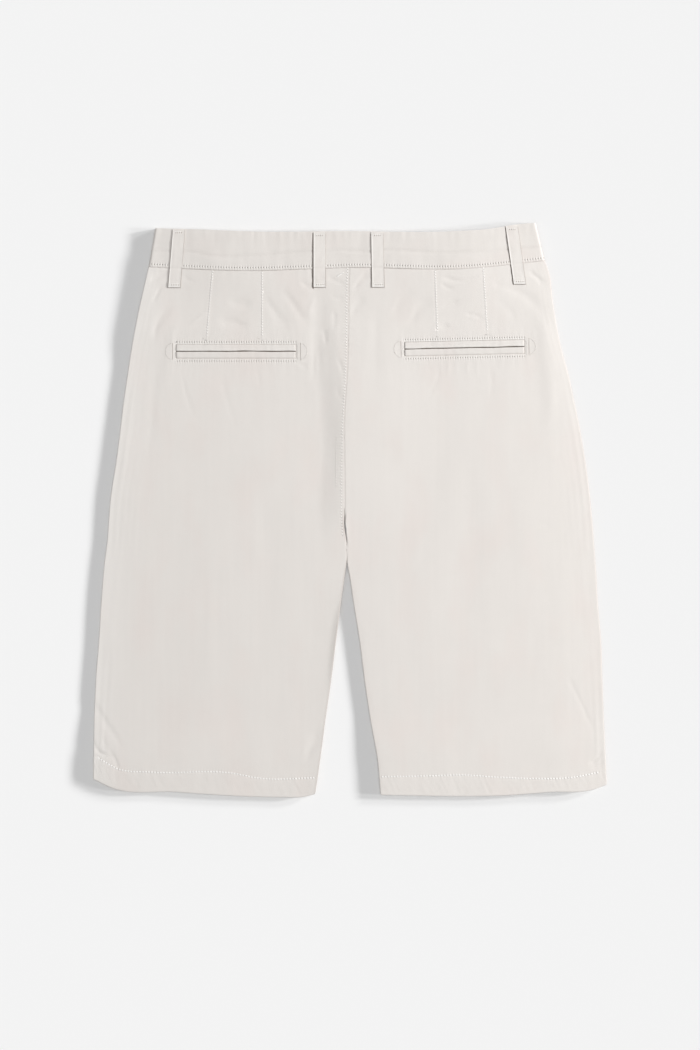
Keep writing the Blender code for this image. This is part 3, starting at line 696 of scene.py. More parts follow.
def panel_places(leg, layer):
    """Places of the middle of one panel's cloth, as rows x columns x 3."""
    towards = INWARDS[leg]
    drops, insets, short = (column[:, None] for column in panel_rows(layer).T)
    side_x = on_section(leg + "_side", drops)
    inner_x = inner_edge(leg, layer, drops)

    def cloth(x):
        y = y_of(x, drops, layer)
        return panel_height(leg, layer, x, y) - layer * insets

    def edge(edge_x, inward, rolled, apart):
        """Columns from an edge inwards: round a roll, or flat for a flat seam and a turned-in hem."""
        high, low = back_rest(drops, edge_x), rest_height(FRONT, drops, edge_x)
        middle, radius = (high + low) / 2, (high - low) / 2
        turned_in = insets / LAYER_PITCH
        reach = radius - insets
        turned_over = SHELL / 2 + FOLD_WIDTH * (1 - np.cos(ROLL_ANGLES)) + ROLL_ON
        roll_x = edge_x + inward * (turned_over + insets + apart)
        roll_x = roll_x + inward * SEAM_TUCK * fade(ROLL_ANGLES, 0.0, SEAM_TUCK_ANGLE)
        over = cloth(roll_x) - (high if layer == BACK else low) + layer * insets
        roll_z = middle + layer * np.maximum(SEAM_SLIT, reach * np.sin(ROLL_ANGLES))
        roll_z = roll_z + over * np.sin(ROLL_ANGLES) ** 2
        clear = turned_in * (SHELL / 2 + radius)
        steps = np.arange(len(ROLL_ANGLES))
        flat_x = edge_x + inward * (clear + steps * ROLL_STEP + apart * (1 - steps / steps[-1]))
        flat_z = cloth(flat_x)
        share = rolled * (1 - turned_in)
        return flat_x + (roll_x - flat_x) * share, flat_z + (roll_z - flat_z) * share

    outer = edge(side_x, towards, 1.0, 0.0)
    rolled = ramp(drops, CROTCH_DROP - 8, CROTCH_DROP + 6)
    if layer == BACK:
        touch_drop, touch_reach, flattened = LEGS_TOUCH
        rolled = rolled * (1 - flattened * bump(drops - touch_drop, touch_reach))
    inner = edge(inner_x, -towards, rolled, drawn_in(leg, drops))
    first = side_x + towards * (FIRST_INSIDE + 1.4 * insets)
    last = inner_x - towards * (FIRST_INSIDE + 1.4 * insets)
    middle_x = first + (last - first) * np.linspace(0, 1, PANEL_COLUMNS[layer])
    x = np.concatenate([outer[0], middle_x, inner[0][:, ::-1]], axis=1)
    z = np.concatenate([outer[1], cloth(middle_x), inner[1][:, ::-1]], axis=1)
    y = y_of(x, drops, layer) + short
    y[0] -= GAP
    return np.stack([x, y, z], axis=2)


# ---------------------------------------------------------------- rows of stitching

# A row of stitches; the strength of its pits and puckers is from 0 to 1
Row = namedtuple("Row", "pitch line strength", defaults=(0.0,))


def line_at(function, start, end):
    x = np.linspace(start, end, 80)
    return np.stack([x, function(x)], axis=1)


def waist_row(layer):
    """The edge-stitching along the foot of the band."""
    return Row(SEAM_PITCH, line_at(lambda x: waist_line(x, layer) + WAIST_ROW, -210.0, 205.0), 1.0)


def hem_row(leg):
    points = HEM_STITCH[leg]
    start = points[0][0] + (2.5 if leg == "left" else 0.0)
    return Row(HEM_PITCH, line_at(lambda x: on_curve(points, x), start, points[-1][0] - 2.5), 0.35)


def centre_row():
    drops = np.linspace(1.0, 286.0, 80)
    x = on_section("left_inner", drops) - on_curve(BESIDE_CENTRE, drops)
    return Row(CENTRE_PITCH, np.stack([x, WAIST_Y - drops], axis=1), 0.4)


def dart_row(top, foot):
    return Row(SEAM_PITCH, [(top[0] + 0.7, top[1] + 0.8), (foot[0] + 0.7, foot[1] + 5.0)], 0.3)


def pocket_rows(pocket):
    """The stitching above and below a pocket's window."""
    half_w, half_h = WINDOW_WIDTH / 2 + 1.5, WINDOW_HEIGHT / 2
    heights = (half_h + POCKET_ROW_ABOVE, -half_h - POCKET_ROW_BELOW)
    lines = [[from_pocket(pocket, a, b) for a in (-half_w, half_w)] for b in heights]
    return [Row(POCKET_PITCH, line, 0.8) for line in lines]


def row_masks(rows, x, y):
    """How far each place is beside the nearest row, in millimetres, and along it, in stitches."""
    across, phase, there = np.full(x.shape, 99.0), np.zeros(x.shape), np.zeros(x.shape)
    second = np.full(x.shape, 99.0)
    for row in rows:
        left, along = from_line(row.line, x, y)
        nearer = np.abs(left) < np.abs(across)
        second = np.minimum(second, np.where(nearer, np.abs(across), np.abs(left)))
        across = np.where(nearer, left, across)
        phase = np.where(nearer, along / row.pitch, phase)
        length = run_lengths(row.line).sum()
        inside = ramp(np.minimum(along, length - along), 0.0, 1.5)
        there = np.where(nearer, row.strength * inside, there)
    there = there * fade(np.abs(across), ROW_REACH / 2, ROW_REACH) * ramp(second - np.abs(across), 0.4, 1.4)
    return {"row_across": across, "row_phase": phase, "row_there": there}


# ---------------------------------------------------------------- meshes


def flat_cut(places, towards=1):
    """Where each place of a sheet lies in its flat cut, measured along the cloth from its middle column."""
    across = np.linalg.norm(np.diff(places, axis=1), axis=2)
    across = np.concatenate([np.zeros((len(places), 1)), np.cumsum(across, axis=1)], axis=1)
    middle = places.shape[1] // 2
    u = towards * (across - across[:, middle : middle + 1]) + places[:, middle : middle + 1, 0]
    down = np.linalg.norm(np.diff(places[:, middle], axis=0), axis=1)
    v = places[0, middle, 1] - np.concatenate([[0.0], np.cumsum(down)])
    return np.stack([u, np.broadcast_to(v[:, None], u.shape)], axis=2)


def cloth_bmesh(places, flat, masks=None):
    """A sheet of rows x columns places, with its flat cut as a UV map and its masks on its points."""
    rows, columns = places.shape[:2]
    bm = bmesh.new()
    bmesh.ops.create_grid(bm, x_segments=columns - 1, y_segments=rows - 1, size=1.0)
    layers = {name: bm.verts.layers.float.new(name) for name in masks or {}}
    cut = bm.loops.layers.uv.new(CLOTH_MAP)
    cells = {}
    for vert in bm.verts:
        column = round((vert.co.x + 1) / 2 * (columns - 1))
        row = round((1 - vert.co.y) / 2 * (rows - 1))
        cells[vert] = (row, column)
        vert.co = Vector(places[row, column]) * MM
        for name, layer in layers.items():
            vert[layer] = masks[name][row, column]
    for face in bm.faces:
        face.smooth = True
        for loop in face.loops:
            loop[cut].uv = flat[cells[loop.vert]] * MM
    return bm


def faces_of(made):
    """The faces that an operator has just made."""
    return {face for vert in made["verts"] for face in vert.link_faces}


def add_object(name, data):
    obj = bpy.data.objects.new(name, data)
    bpy.context.scene.collection.objects.link(obj)
    return obj


def piece_from(bm, name, materials, node=None, wall=None, bevel=None):
    """A finished piece from a bmesh, in place of a node if it is one, with a wall and rounded rims."""
    mesh = bpy.data.meshes.new(name)
    bm.to_mesh(mesh)
    bm.free()
    for material in materials:
        mesh.materials.append(material)
    piece = add_object(name, mesh)
    if wall:
        solid = piece.modifiers.new("wall", "SOLIDIFY")
        solid.thickness = wall * MM
        solid.offset = 0.0
    if bevel:
        rounded = piece.modifiers.new("rounded_rim", "BEVEL")
        rounded.width = bevel * MM
        rounded.segments = 2
        rounded.limit_method = "ANGLE"
        rounded.angle_limit = RIM_ANGLE
    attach(piece, "root")
    if node:
        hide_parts(node)
    return piece


OUTER_FROM = 1.7  # above this height lies only cloth of the back, at its middle
BAND_DEPTH = 1.0  # no deeper than this below its level lies only the back of the waistband


def score(bm, start, end, offsets, reach, above=OUTER_FROM):
    """Cuts the faces near a line along lines beside it, so that a seam can be pressed in there."""
    start, end = Vector((*start, 0)) * MM, Vector((*end, 0)) * MM
    run = (end - start).normalized()
    aside = Vector((-run.y, run.x, 0))
    length = (end - start).length
    spread = (max(map(abs, offsets)) + reach) * MM

    def near(face):
        there = face.calc_center_bounds() - start
        beside = abs(there.dot(aside)) < spread and -reach * MM < there.dot(run) < length + reach * MM
        return beside and there.z > above * MM

    faces = [face for face in bm.faces if near(face)]
    around = list({v for f in faces for v in f.verts}) + list({e for f in faces for e in f.edges}) + faces
    for offset in offsets:
        beside = start + aside * offset * MM
        cut = bmesh.ops.bisect_plane(bm, geom=around, dist=1e-7, plane_co=beside, plane_no=aside)
        around = list(set(cut["geom"]) | set(cut["geom_cut"]))


def press(bm, low, high, height_at, masks=None, above=OUTER_FROM):
    """Moves the points inside a box of (x, y) up by height_at(x, y), and sets masks there."""
    verts = [v for v in bm.verts if v.co.z > above * MM]
    verts = [v for v in verts if low[0] < v.co.x / MM < high[0] and low[1] < v.co.y / MM < high[1]]
    x = np.array([v.co.x for v in verts]) / MM
    y = np.array([v.co.y for v in verts]) / MM
    for vert, height in zip(verts, height_at(x, y)):
        vert.co.z += height * MM
    for name, mask_at in (masks or {}).items():
        layer = bm.verts.layers.float[name]
        for vert, value in zip(verts, mask_at(x, y)):
            vert[layer] = max(vert[layer], value)


WINDOW_CUTS = (0.0, -0.5, -1.1, -2.0, 0.5)  # beside the window's sides, outwards where negative
WINDOW_REACH = 8.0
DART_CUTS = (0.0, 0.6, -0.6, 1.4, -1.4)
GROOVE_CUTS = (0.0, 0.5, -0.5, 1.0, -1.0, 1.6, -1.6)  # in widths of the groove


def open_window(bm, pocket):
    """Cuts the pocket's window out of the panel and turns its edges down to the welts."""
    half_w, half_h = WINDOW_WIDTH / 2 + 0.1, WINDOW_HEIGHT / 2 + 0.1
    corners = ((-half_w, -half_h), (half_w, -half_h), (half_w, half_h), (-half_w, half_h))
    corners = [from_pocket(pocket, *corner) for corner in corners]
    for i in range(4):
        score(bm, corners[i - 1], corners[i], WINDOW_CUTS, 4.0)
    inside = []
    for face in bm.faces:
        centre = face.calc_center_median() / MM
        if abs(centre.x - pocket.x) < half_w + 5 and abs(centre.y - pocket.y) < half_h + 5:
            along, across = in_pocket(pocket, centre.x, centre.y)
            if abs(along) < half_w and abs(across) < half_h:
                inside.append(face)
    bmesh.ops.delete(bm, geom=inside, context="FACES")
    half_h = WINDOW_HEIGHT / 2
    low = (pocket.x - half_w - WINDOW_REACH, pocket.y - half_h - WINDOW_REACH)
    high = (pocket.x + half_w + WINDOW_REACH, pocket.y + half_h + WINDOW_REACH)

    # Painted shade along the window's edge, weaker at its ends
    def at_rim(x, y):
        along, _ = in_pocket(pocket, x, y)
        return fade(from_window(pocket, x, y), 0.0, 0.8) * np.where(np.abs(along) > half_w, 0.12, 0.36)

    # A painted highlight on the cloth just above the window, as on a ridge that catches the light
    def bright(x, y):
        along, across = in_pocket(pocket, x, y)
        return 0.45 * bump(across - half_h - 1.1, 0.6) * (np.abs(along) < half_w)

    def sunk(x, y):
        along, across = in_pocket(pocket, x, y)
        return -0.5 * fade(np.abs(across) - half_h, 0.0, 0.9) * fade(np.abs(along) - half_w, 0.0, 0.9)

    press(bm, low, high, sunk, {"painted_shade": at_rim, "wear_and_highlight": bright})
    # Pressed lines with painted shade beyond the window's ends
    for end in POCKET_END_LINES:
        line = [from_pocket(pocket, end, b) for b in (WINDOW_HEIGHT / 2 + 0.6, -WINDOW_HEIGHT / 2 - 1.2)]
        groove(bm, *line, 0.5, 0.12, 0.55)


def sew_dart(bm, top, foot):
    """A dart's seam: a fine ridge with a groove along one side, and a painted highlight along the ridge."""
    score(bm, top, foot, DART_CUTS, 3.0)
    length = math.dist(top, foot)

    def height(x, y):
        left, along = from_line((top, foot), x, y)
        ends = ramp(along, 0.0, 3.0) * fade(along, length - 6.0, length)
        return (0.13 * bump(left - 0.6, 0.8) - 0.06 * bump(left + 0.6, 0.5)) * ends

    def ridge_highlight(x, y):
        left, along = from_line((top, foot), x, y)
        return 0.2 * bump(left - 0.4, 0.7) * ramp(along, 0.0, 1.5) * fade(along, length - 8.0, length)

    press(bm, np.minimum(top, foot) - 4, np.maximum(top, foot) + 4, height, {"wear_and_highlight": ridge_highlight})


def groove(bm, start, end, width, depth, shade, above=OUTER_FROM):
    """Presses a narrow line into the cloth and paints shade along it, as beside something sewn onto it."""
    score(bm, start, end, [cut * width for cut in GROOVE_CUTS], 2.5, above)
    length = math.dist(start, end)

    def presence(x, y):
        left, along = from_line((start, end), x, y)
        ends = fade(np.maximum(-along, along - length), 0.0, 1.0)
        return fade(np.abs(left), width * 0.6, width * 1.05) * ends

    low = np.minimum(start, end) - 3
    high = np.maximum(start, end) + 3
    masks = {"painted_shade": lambda x, y: shade * presence(x, y)}
    press(bm, low, high, lambda x, y: -depth * presence(x, y), masks, above)


# ---------------------------------------------------------------- materials

WALE_PITCH = 0.0008
WALE_SLANT = 0.72  # how far a wale runs across the cloth for its rise
BLUSH_TINT = (1.0, 0.982, 0.98, 1)  # of the clouds in the dye
# Whitish colour of rubbed cloth, of painted highlights and of painted light
WEAR_AND_HIGHLIGHT_COLOUR = (0.92, 0.9, 0.87, 1)
# Dark brown of painted shade: in seams, gaps, slits and pits, and on the walls of edges that face the light
PAINTED_SHADE_COLOUR = (0.15, 0.105, 0.078, 1)
PIT_SHADE = 0.2  # painted shade in a needle's pit
PIT_DEPTH = 0.0005
RELIEF = 0.0001  # height of a weave or a grain


def add_node(tree, kind, values=None, **settings):
    """A shader node with its settings and with its inputs set or linked."""
    made = tree.nodes.new("ShaderNode" + kind)
    for name, value in settings.items():
        setattr(made, name, value)
    for socket, value in (values or {}).items():
        if isinstance(value, bpy.types.NodeSocket):
            tree.links.new(value, made.inputs[socket])
        else:
            made.inputs[socket].default_value = value
    return made


def link_all(tree, values, sockets):
    for name, value in values.items():
        tree.links.new(value, sockets[name])


def math_node(tree, operation, first, second=0.0, third=0.0):
    return add_node(tree, "Math", {0: first, 1: second, 2: third}, operation=operation).outputs[0]


def wave_node(tree, operation, turns):
    """The sine or the cosine of so many whole turns."""
    return math_node(tree, operation, math_node(tree, "MULTIPLY", turns, 2 * math.pi))


def noise_node(tree, place, scale, detail, stretch=None):
    """Noise from 0 to 1; stretch gives its scale along each axis instead."""
    if stretch:
        place = add_node(tree, "VectorMath", {0: place, 1: stretch}, operation="MULTIPLY").outputs[0]
    return add_node(tree, "TexNoise", {"Vector": place, "Scale": scale, "Detail": detail}).outputs[0]


def bump_node(tree, strength, distance, height, **more):
    """The normal of a surface with this relief."""
    values = {"Strength": strength, "Distance": distance, "Height": height, **more}
    return add_node(tree, "Bump", values).outputs[0]


def grey(tree, value):
    return add_node(tree, "CombineXYZ", {0: value, 1: value, 2: value}).outputs[0]


def mixed(tree, factor, first, second, blend="MIX"):
    """Two colours mixed by a factor."""
    made = add_node(tree, "Mix", {0: factor, 6: first, 7: second}, data_type="RGBA", blend_type=blend)
    return made.outputs[2]


def new_group(name, inputs, outputs):
    """An empty node group with the given sockets, and its input and output nodes."""
    tree = bpy.data.node_groups.new(name, "ShaderNodeTree")
    for title, default in inputs.items():
        kind = {float: "Float", tuple: "Color"}.get(type(default), "Vector")
        socket = tree.interface.new_socket(title, in_out="INPUT", socket_type="NodeSocket" + kind)
        if default is not None:
            socket.default_value = default
    for title, kind in outputs:
        tree.interface.new_socket(title, in_out="OUTPUT", socket_type="NodeSocket" + kind)
    return tree, tree.nodes.new("NodeGroupInput").outputs, tree.nodes.new("NodeGroupOutput").inputs


def twill_group():
    """Twill weave: slanting wales crossed by the yarns, with slubs and an uneven dye along the warp; whitish
    where it is rubbed or a highlight is painted, dark brown where shade is painted.
    """
    if "twill_weave" in bpy.data.node_groups:
        return bpy.data.node_groups["twill_weave"]
    tree, given, out = new_group(
        "twill_weave",
        {
            "Place": None,
            "Colour": (0.76, 0.72, 0.67, 1),
            "Wale pitch": WALE_PITCH,
            "Wear and highlight": 0.0,
            "Painted shade": 0.0,
            "Streaks": 0.03,
        },
        (("Colour", "Color"), ("Roughness", "Float"), ("Height", "Float")),
    )
    calc, noise_of = partial(math_node, tree), partial(noise_node, tree, given["Place"])
    across, down, _ = add_node(tree, "SeparateXYZ", {0: given["Place"]}).outputs
    slant = calc("ADD", across, calc("MULTIPLY", down, WALE_SLANT))
    turns = calc("DIVIDE", slant, given["Wale pitch"])
    turns = calc("ADD", turns, calc("MULTIPLY", noise_of(900.0, 1.0), 0.5))
    wales = wave_node(tree, "SINE", turns)
    yarns = wave_node(tree, "SINE", calc("DIVIDE", down, calc("MULTIPLY", given["Wale pitch"], 0.5)))
    fuzz = noise_of(2600.0, 2.0)
    slubs = noise_of(1.0, 2.0, (1500.0, 90.0, 1.0))
    height = 0.5
    for relief, share in ((wales, 0.34), (yarns, 0.1), (fuzz, 0.35), (slubs, 0.35)):
        height = calc("MULTIPLY_ADD", relief, share, height)
    streaks = noise_of(1.0, 3.0, (210.0, 9.0, 1.0))
    mottle = noise_of(24.0, 3.0)
    clouds = noise_of(1.0, 2.0, (22.0, 11.0, 1.0))
    blush = add_node(tree, "MapRange", {0: clouds, 1: 0.5, 2: 0.68, 3: 0.0, 4: 1.0}).outputs[0]
    tone = calc("ADD", streaks, calc("ADD", mottle, calc("MULTIPLY", wales, 0.25)))
    tone = calc("MULTIPLY_ADD", calc("SUBTRACT", tone, 1.0), given["Streaks"], 1.0)
    colour = mixed(tree, 1.0, given["Colour"], grey(tree, tone), "MULTIPLY")
    blushed = mixed(tree, 1.0, colour, BLUSH_TINT, "MULTIPLY")
    colour = mixed(tree, blush, colour, blushed)
    # Whitish where the cloth is rubbed or a highlight or light is painted
    colour = mixed(tree, given["Wear and highlight"], colour, WEAR_AND_HIGHLIGHT_COLOUR)
    # Dark brown where shade is painted
    colour = mixed(tree, given["Painted shade"], colour, PAINTED_SHADE_COLOUR)
    roughness = calc("MULTIPLY_ADD", fuzz, 0.16, 0.8)
    link_all(tree, {"Colour": colour, "Roughness": roughness, "Height": height}, out)
    return tree


def needle_row_group():
    """What a row of stitches does to the cloth: pits at the needle's holes, which the material also darkens
    with painted shade, and puckers beside them.
    """
    if "needle_row" in bpy.data.node_groups:
        return bpy.data.node_groups["needle_row"]
    tree, given, out = new_group(
        "needle_row",
        {"Across": 0.0, "Phase": 0.0, "There": 0.0, "Pit radius": 0.62, "Pucker reach": 2.6},
        (("Pits", "Float"), ("Height", "Float")),
    )
    calc = partial(math_node, tree)
    wave = wave_node(tree, "COSINE", given["Phase"])
    share = calc("DIVIDE", given["Across"], given["Pit radius"])
    on_row = calc("EXPONENT", calc("MULTIPLY", calc("MULTIPLY", share, share), -1.0))
    on_row = calc("MULTIPLY", on_row, given["There"])
    pits = calc("MULTIPLY", calc("POWER", calc("MAXIMUM", wave, 0.0), 1.5), on_row)
    away = calc("DIVIDE", calc("ABSOLUTE", given["Across"]), given["Pucker reach"])
    away = calc("EXPONENT", calc("MULTIPLY", away, -1.0))
    puckers = calc("MULTIPLY", calc("MULTIPLY", wave, away), given["There"])
    height = calc("MULTIPLY_ADD", puckers, -0.22, 0.5)
    height = calc("SUBTRACT", height, pits)
    height = calc("MULTIPLY_ADD", on_row, -0.25, height)
    link_all(tree, {"Pits": pits, "Height": height}, out)
    return tree


def fine_noise_group():
    """Slight unevenness of a surface: a tone that multiplies its colour, and a height."""
    if "fine_unevenness" in bpy.data.node_groups:
        return bpy.data.node_groups["fine_unevenness"]
    tree, given, out = new_group(
        "fine_unevenness",
        {"Place": None, "Scale": 400.0, "Amount": 0.1},
        (("Tone", "Color"), ("Height", "Float")),
    )
    grains = noise_node(tree, given["Place"], given["Scale"], 3.0)
    centred = math_node(tree, "SUBTRACT", grains, 0.5)
    tone = math_node(tree, "MULTIPLY_ADD", centred, given["Amount"], 1.0)
    link_all(tree, {"Tone": grey(tree, tone), "Height": grains}, out)
    return tree


def new_material(name, roughness=0.9, sheen=0.0, level=0.3):
    """A material with a Principled BSDF, and the values that are the same all over it."""
    material = bpy.data.materials.new(name)
    material.use_nodes = True
    tree = material.node_tree
    shader = tree.nodes["Principled BSDF"]
    shader.inputs["Roughness"].default_value = roughness
    shader.inputs["Sheen Weight"].default_value = sheen
    shader.inputs["Sheen Roughness"].default_value = 0.5
    shader.inputs["Specular IOR Level"].default_value = level
    return material, tree, shader.inputs


def cloth_material(name, colour, painted_shade=0.0):
    """Washed cotton twill on a piece that has a flat cut and, where it needs them, masks."""
    if name in bpy.data.materials:
        return bpy.data.materials[name]
    material, tree, sockets = new_material(name, sheen=0.12, level=0.2)

    def mask(title):
        return add_node(tree, "Attribute", attribute_name=title).outputs["Fac"]

    row = {"Across": mask("row_across"), "Phase": mask("row_phase"), "There": mask("row_there")}
    sewn = add_node(tree, "Group", node_tree=needle_row_group())
    link_all(tree, row, sewn.inputs)
    # Painted shade: the piece's mask, an even amount for the whole piece, and the pits of the needle rows
    shade = math_node(tree, "ADD", mask("painted_shade"), painted_shade)
    weave = add_node(tree, "Group", node_tree=twill_group())
    weave.inputs["Colour"].default_value = (*colour, 1)
    given = {
        "Place": add_node(tree, "UVMap", uv_map=CLOTH_MAP).outputs[0],
        "Wear and highlight": mask("wear_and_highlight"),
        "Painted shade": math_node(tree, "MULTIPLY_ADD", sewn.outputs["Pits"], PIT_SHADE, shade),
    }
    link_all(tree, given, weave.inputs)
    pulled = bump_node(tree, 1.0, PIT_DEPTH, sewn.outputs["Height"])
    looks = {
        "Base Color": weave.outputs["Colour"],
        "Roughness": weave.outputs["Roughness"],
        "Normal": bump_node(tree, 0.7, RELIEF, weave.outputs["Height"], Normal=pulled),
    }
    link_all(tree, looks, sockets)
    return material


def grained_material(name, colour, scale, amount, roughness, sheen=0.0):
    """A plain finish with fine unevenness, for thread, tape and the dark discs of painted shade in needle
    holes.
    """
    if name in bpy.data.materials:
        return bpy.data.materials[name]
    material, tree, sockets = new_material(name, roughness, sheen)
    place = add_node(tree, "TexCoord").outputs["Object"]
    grains = add_node(tree, "Group", node_tree=fine_noise_group())
    grains.inputs["Scale"].default_value = scale
    grains.inputs["Amount"].default_value = amount
    tree.links.new(place, grains.inputs["Place"])
    toned = mixed(tree, 1.0, (*colour, 1), grains.outputs["Tone"], "MULTIPLY")
    surface = bump_node(tree, 0.6, RELIEF, grains.outputs["Height"])
    link_all(tree, {"Base Color": toned, "Normal": surface}, sockets)
    return material


def horn_material():
    """Polished horn-effect resin: clouded brown and cream bands."""
    if "horn_resin" in bpy.data.materials:
        return bpy.data.materials["horn_resin"]
    material, tree, sockets = new_material("horn_resin", roughness=0.32, level=0.5)
    clouds = {"Scale": 90.0, "Distortion": 7.0, "Detail": 3.0, "Detail Scale": 1.5}
    clouds["Vector"] = add_node(tree, "TexCoord").outputs["Object"]
    bands = add_node(tree, "ValToRGB", {0: add_node(tree, "TexWave", clouds).outputs[0]})
    for stop, colour in zip(bands.color_ramp.elements, ((0.36, 0.27, 0.19, 1), (0.74, 0.68, 0.58, 1))):
        stop.color = colour
    tree.links.new(bands.outputs[0], sockets["Base Color"])
    return material


def cloth_materials(context):
    """The materials that the sewn pieces share."""
    colours = context.scene.shorts_colours
    return {
        "cloth": cloth_material("stone_twill", colours.cloth),
        # Cloth darkened all over by painted shade, for the strip inside each pocket
        "inside": cloth_material("pocket_inside_shaded", colours.cloth, painted_shade=0.9),
        "thread": grained_material("sewing_thread", colours.thread, 2500.0, 0.08, 0.6, 0.1),
        # A dark colour for the painted shade in needle holes and in the button's holes
        "hole": grained_material("needle_hole_shade", colours.needle_hole_shade, 900.0, 0.3, 0.95),
        "tape": grained_material("zip_tape_weave", colours.zip_tape, 1800.0, 0.2, 0.8),
    }


# ---------------------------------------------------------------- pieces


# Marks of painted shade, painted light and fading on the panels, as (strength, width) across a line or
# (strength, start and end of its fading) along an edge, and as (drop, reach) where they lie
# The hem's folded edge is lighter: partly fading from use, partly a painted highlight on its roll
HEM_WEAR_AND_HIGHLIGHT = (0.3, 1.2)
# Painted shade under the foot of the band and beside the centre seam
WAIST_SHADE = (0.4, 0.7)
CENTRE_SHADE = (0.16, 0.7)
# Painted shade by the left leg's inner edge at the notch
NOTCH_WIDE_SHADE = (0.08, 0.5, 7.0)
NOTCH_EDGE_SHADE = (0.2, 0.7, 2.4)
NOTCH_MIDDLE = (-136.0, 32.0)  # as (y, reach)
# Where the legs part: painted shadow of the right leg's edge on the left leg's edge, and a painted highlight
# on the right leg's edge
PARTING_SHADE, PARTING_SHADE_AT = (0.24, 0.9, 2.8), (270.0, 16.0)
PARTING_RIM_SHADE, PARTING_RIM_SHADE_FROM = (0.34, 0.7, 1.5), (262.0, 276.0)
PARTING_HIGHLIGHT, PARTING_HIGHLIGHT_AT = (0.6, 0.8, 1.8), (276.0, 12.0)
TOUCH_REACH, TOUCH_FADE = 8.0, (0.6, 1.6)


def mark(strength, *shape, distance):
    """A mark across a line or, where its shape is two distances, along an edge."""
    return strength * (bump(distance, *shape) if len(shape) == 1 else fade(distance, *shape))


def panel_masks(places, leg, layer):
    """Painted light and some fading on the folded edges, painted shade in the seams, on the edges that face
    the light and at the crotch, and the rows that are sewn through the cloth.
    """
    x, y = places[..., 0], places[..., 1]
    drop = waist_line(x, layer) - y
    wear_and_highlight = mark(*HEM_WEAR_AND_HIGHLIGHT, distance=y - on_curve(HEM_EDGE, x))
    painted_shade = mark(*WAIST_SHADE, distance=np.maximum(drop, 0))
    drop = panel_rows(layer)[:, :1] + 0 * x
    inner = (on_section(leg + "_inner", drop) - x) * INWARDS[leg] - drawn_in(leg, drop)
    inner = np.where(drop > CROTCH_DROP - 12, inner, 9.0)
    outer = (x - on_section(leg + "_side", drop)) * INWARDS[leg]
    lit, unlit = (inner, outer) if leg == "left" else (outer, inner)
    # Painted shade on the walls of the edges that face the light, painted light on those of the edges that
    # face away
    painted_shade = np.maximum(painted_shade, FOLD_SHADE * fade(lit, *FOLD_RIM))
    wear_and_highlight = np.maximum(wear_and_highlight, FOLD_PAINTED_LIGHT * fade(unlit, *FOLD_RIM))
    # Painted light that makes the cloth lighter by its left edge
    if leg == "left":
        lightened, reach = LEFT_PAINTED_LIGHT
        wear_and_highlight = np.maximum(wear_and_highlight, lightened * near_edge(np.maximum(outer, 0.0), reach))
    rows = [hem_row(leg)]
    if layer == BACK:
        seam = x - on_section("left_inner", drop)
        closed = fade(drop, *CENTRE_SEAM_END)
        painted_shade = np.maximum(painted_shade, mark(*CENTRE_SHADE, distance=seam + 0.3) * closed)
        if leg == "left":
            # Painted shade by the left leg's inner edge: at the notch and, as the right leg's shadow, where
            # the legs part
            touching = bump(drop - LEGS_TOUCH[0], TOUCH_REACH) * fade(inner, *TOUCH_FADE)
            notch = mark(*NOTCH_WIDE_SHADE, distance=inner) + mark(*NOTCH_EDGE_SHADE, distance=inner)
            notch = notch * down(y, NOTCH_MIDDLE)
            under = mark(*PARTING_SHADE, distance=inner) * down(drop, PARTING_SHADE_AT)
            rim_shade = mark(*PARTING_RIM_SHADE, distance=inner) * ramp(drop, *PARTING_RIM_SHADE_FROM) * (1 - touching)
            painted_shade = np.maximum.reduce([painted_shade, notch, under, rim_shade])
        else:
            # A painted highlight on the right leg's edge where the legs part
            highlit = mark(*PARTING_HIGHLIGHT, distance=inner) * down(drop, PARTING_HIGHLIGHT_AT)
            wear_and_highlight = np.maximum(wear_and_highlight, highlit)
        rows += [dart_row(*dart) for dart in DARTS[leg]]
        rows += [row for pocket in POCKETS if pocket.side == leg for row in pocket_rows(pocket)]
        if leg == "left":
            rows.append(centre_row())
    return {"wear_and_highlight": wear_and_highlight, "painted_shade": painted_shade, **row_masks(rows, x, y)}


def loop_x(loop, y):
    slope = (loop.foot_x - loop.top_x) / (loop.foot_y - loop.top_y)
    return loop.top_x + (y - loop.top_y) * slope


def seat_loop(bm, loop, on_panel):
    """Pressed lines with painted shade where a belt loop lies on the cloth, deeper on the side where it
    stands off.
    """
    seam_y = float(waist_line(loop.foot_x, BACK))
    high = (seam_y - 1.0) if on_panel else (loop.top_y - 2.0)
    low = loop.foot_y if on_panel else (seam_y - 0.5)
    above = OUTER_FROM if on_panel else BAND_BACK_MID - float(sag(loop.foot_x)) - BAND_DEPTH
    lean = loop.lean
    standing = (-1, 0.1 + 0.3 * lean, 0.3 + 0.55 * lean, LOOP_GROOVE * lean, min(1.0, 0.25 + 0.8 * lean))
    lying = (1, 0.15, 0.4, 0.15, 0.5)
    for side, outside, width, depth, shade in (standing, lying):
        aside = side * (LOOP_WIDTH / 2 + outside)
        start, end = ((loop_x(loop, y) + aside, y) for y in (high, low))
        groove(bm, start, end, width, depth, shade, above)
    if on_panel:
        foot = ((loop.foot_x + side * LOOP_WIDTH / 2, loop.foot_y - 0.3) for side in (-1, 1))
        groove(bm, *foot, 0.38, 0.2, 0.5)


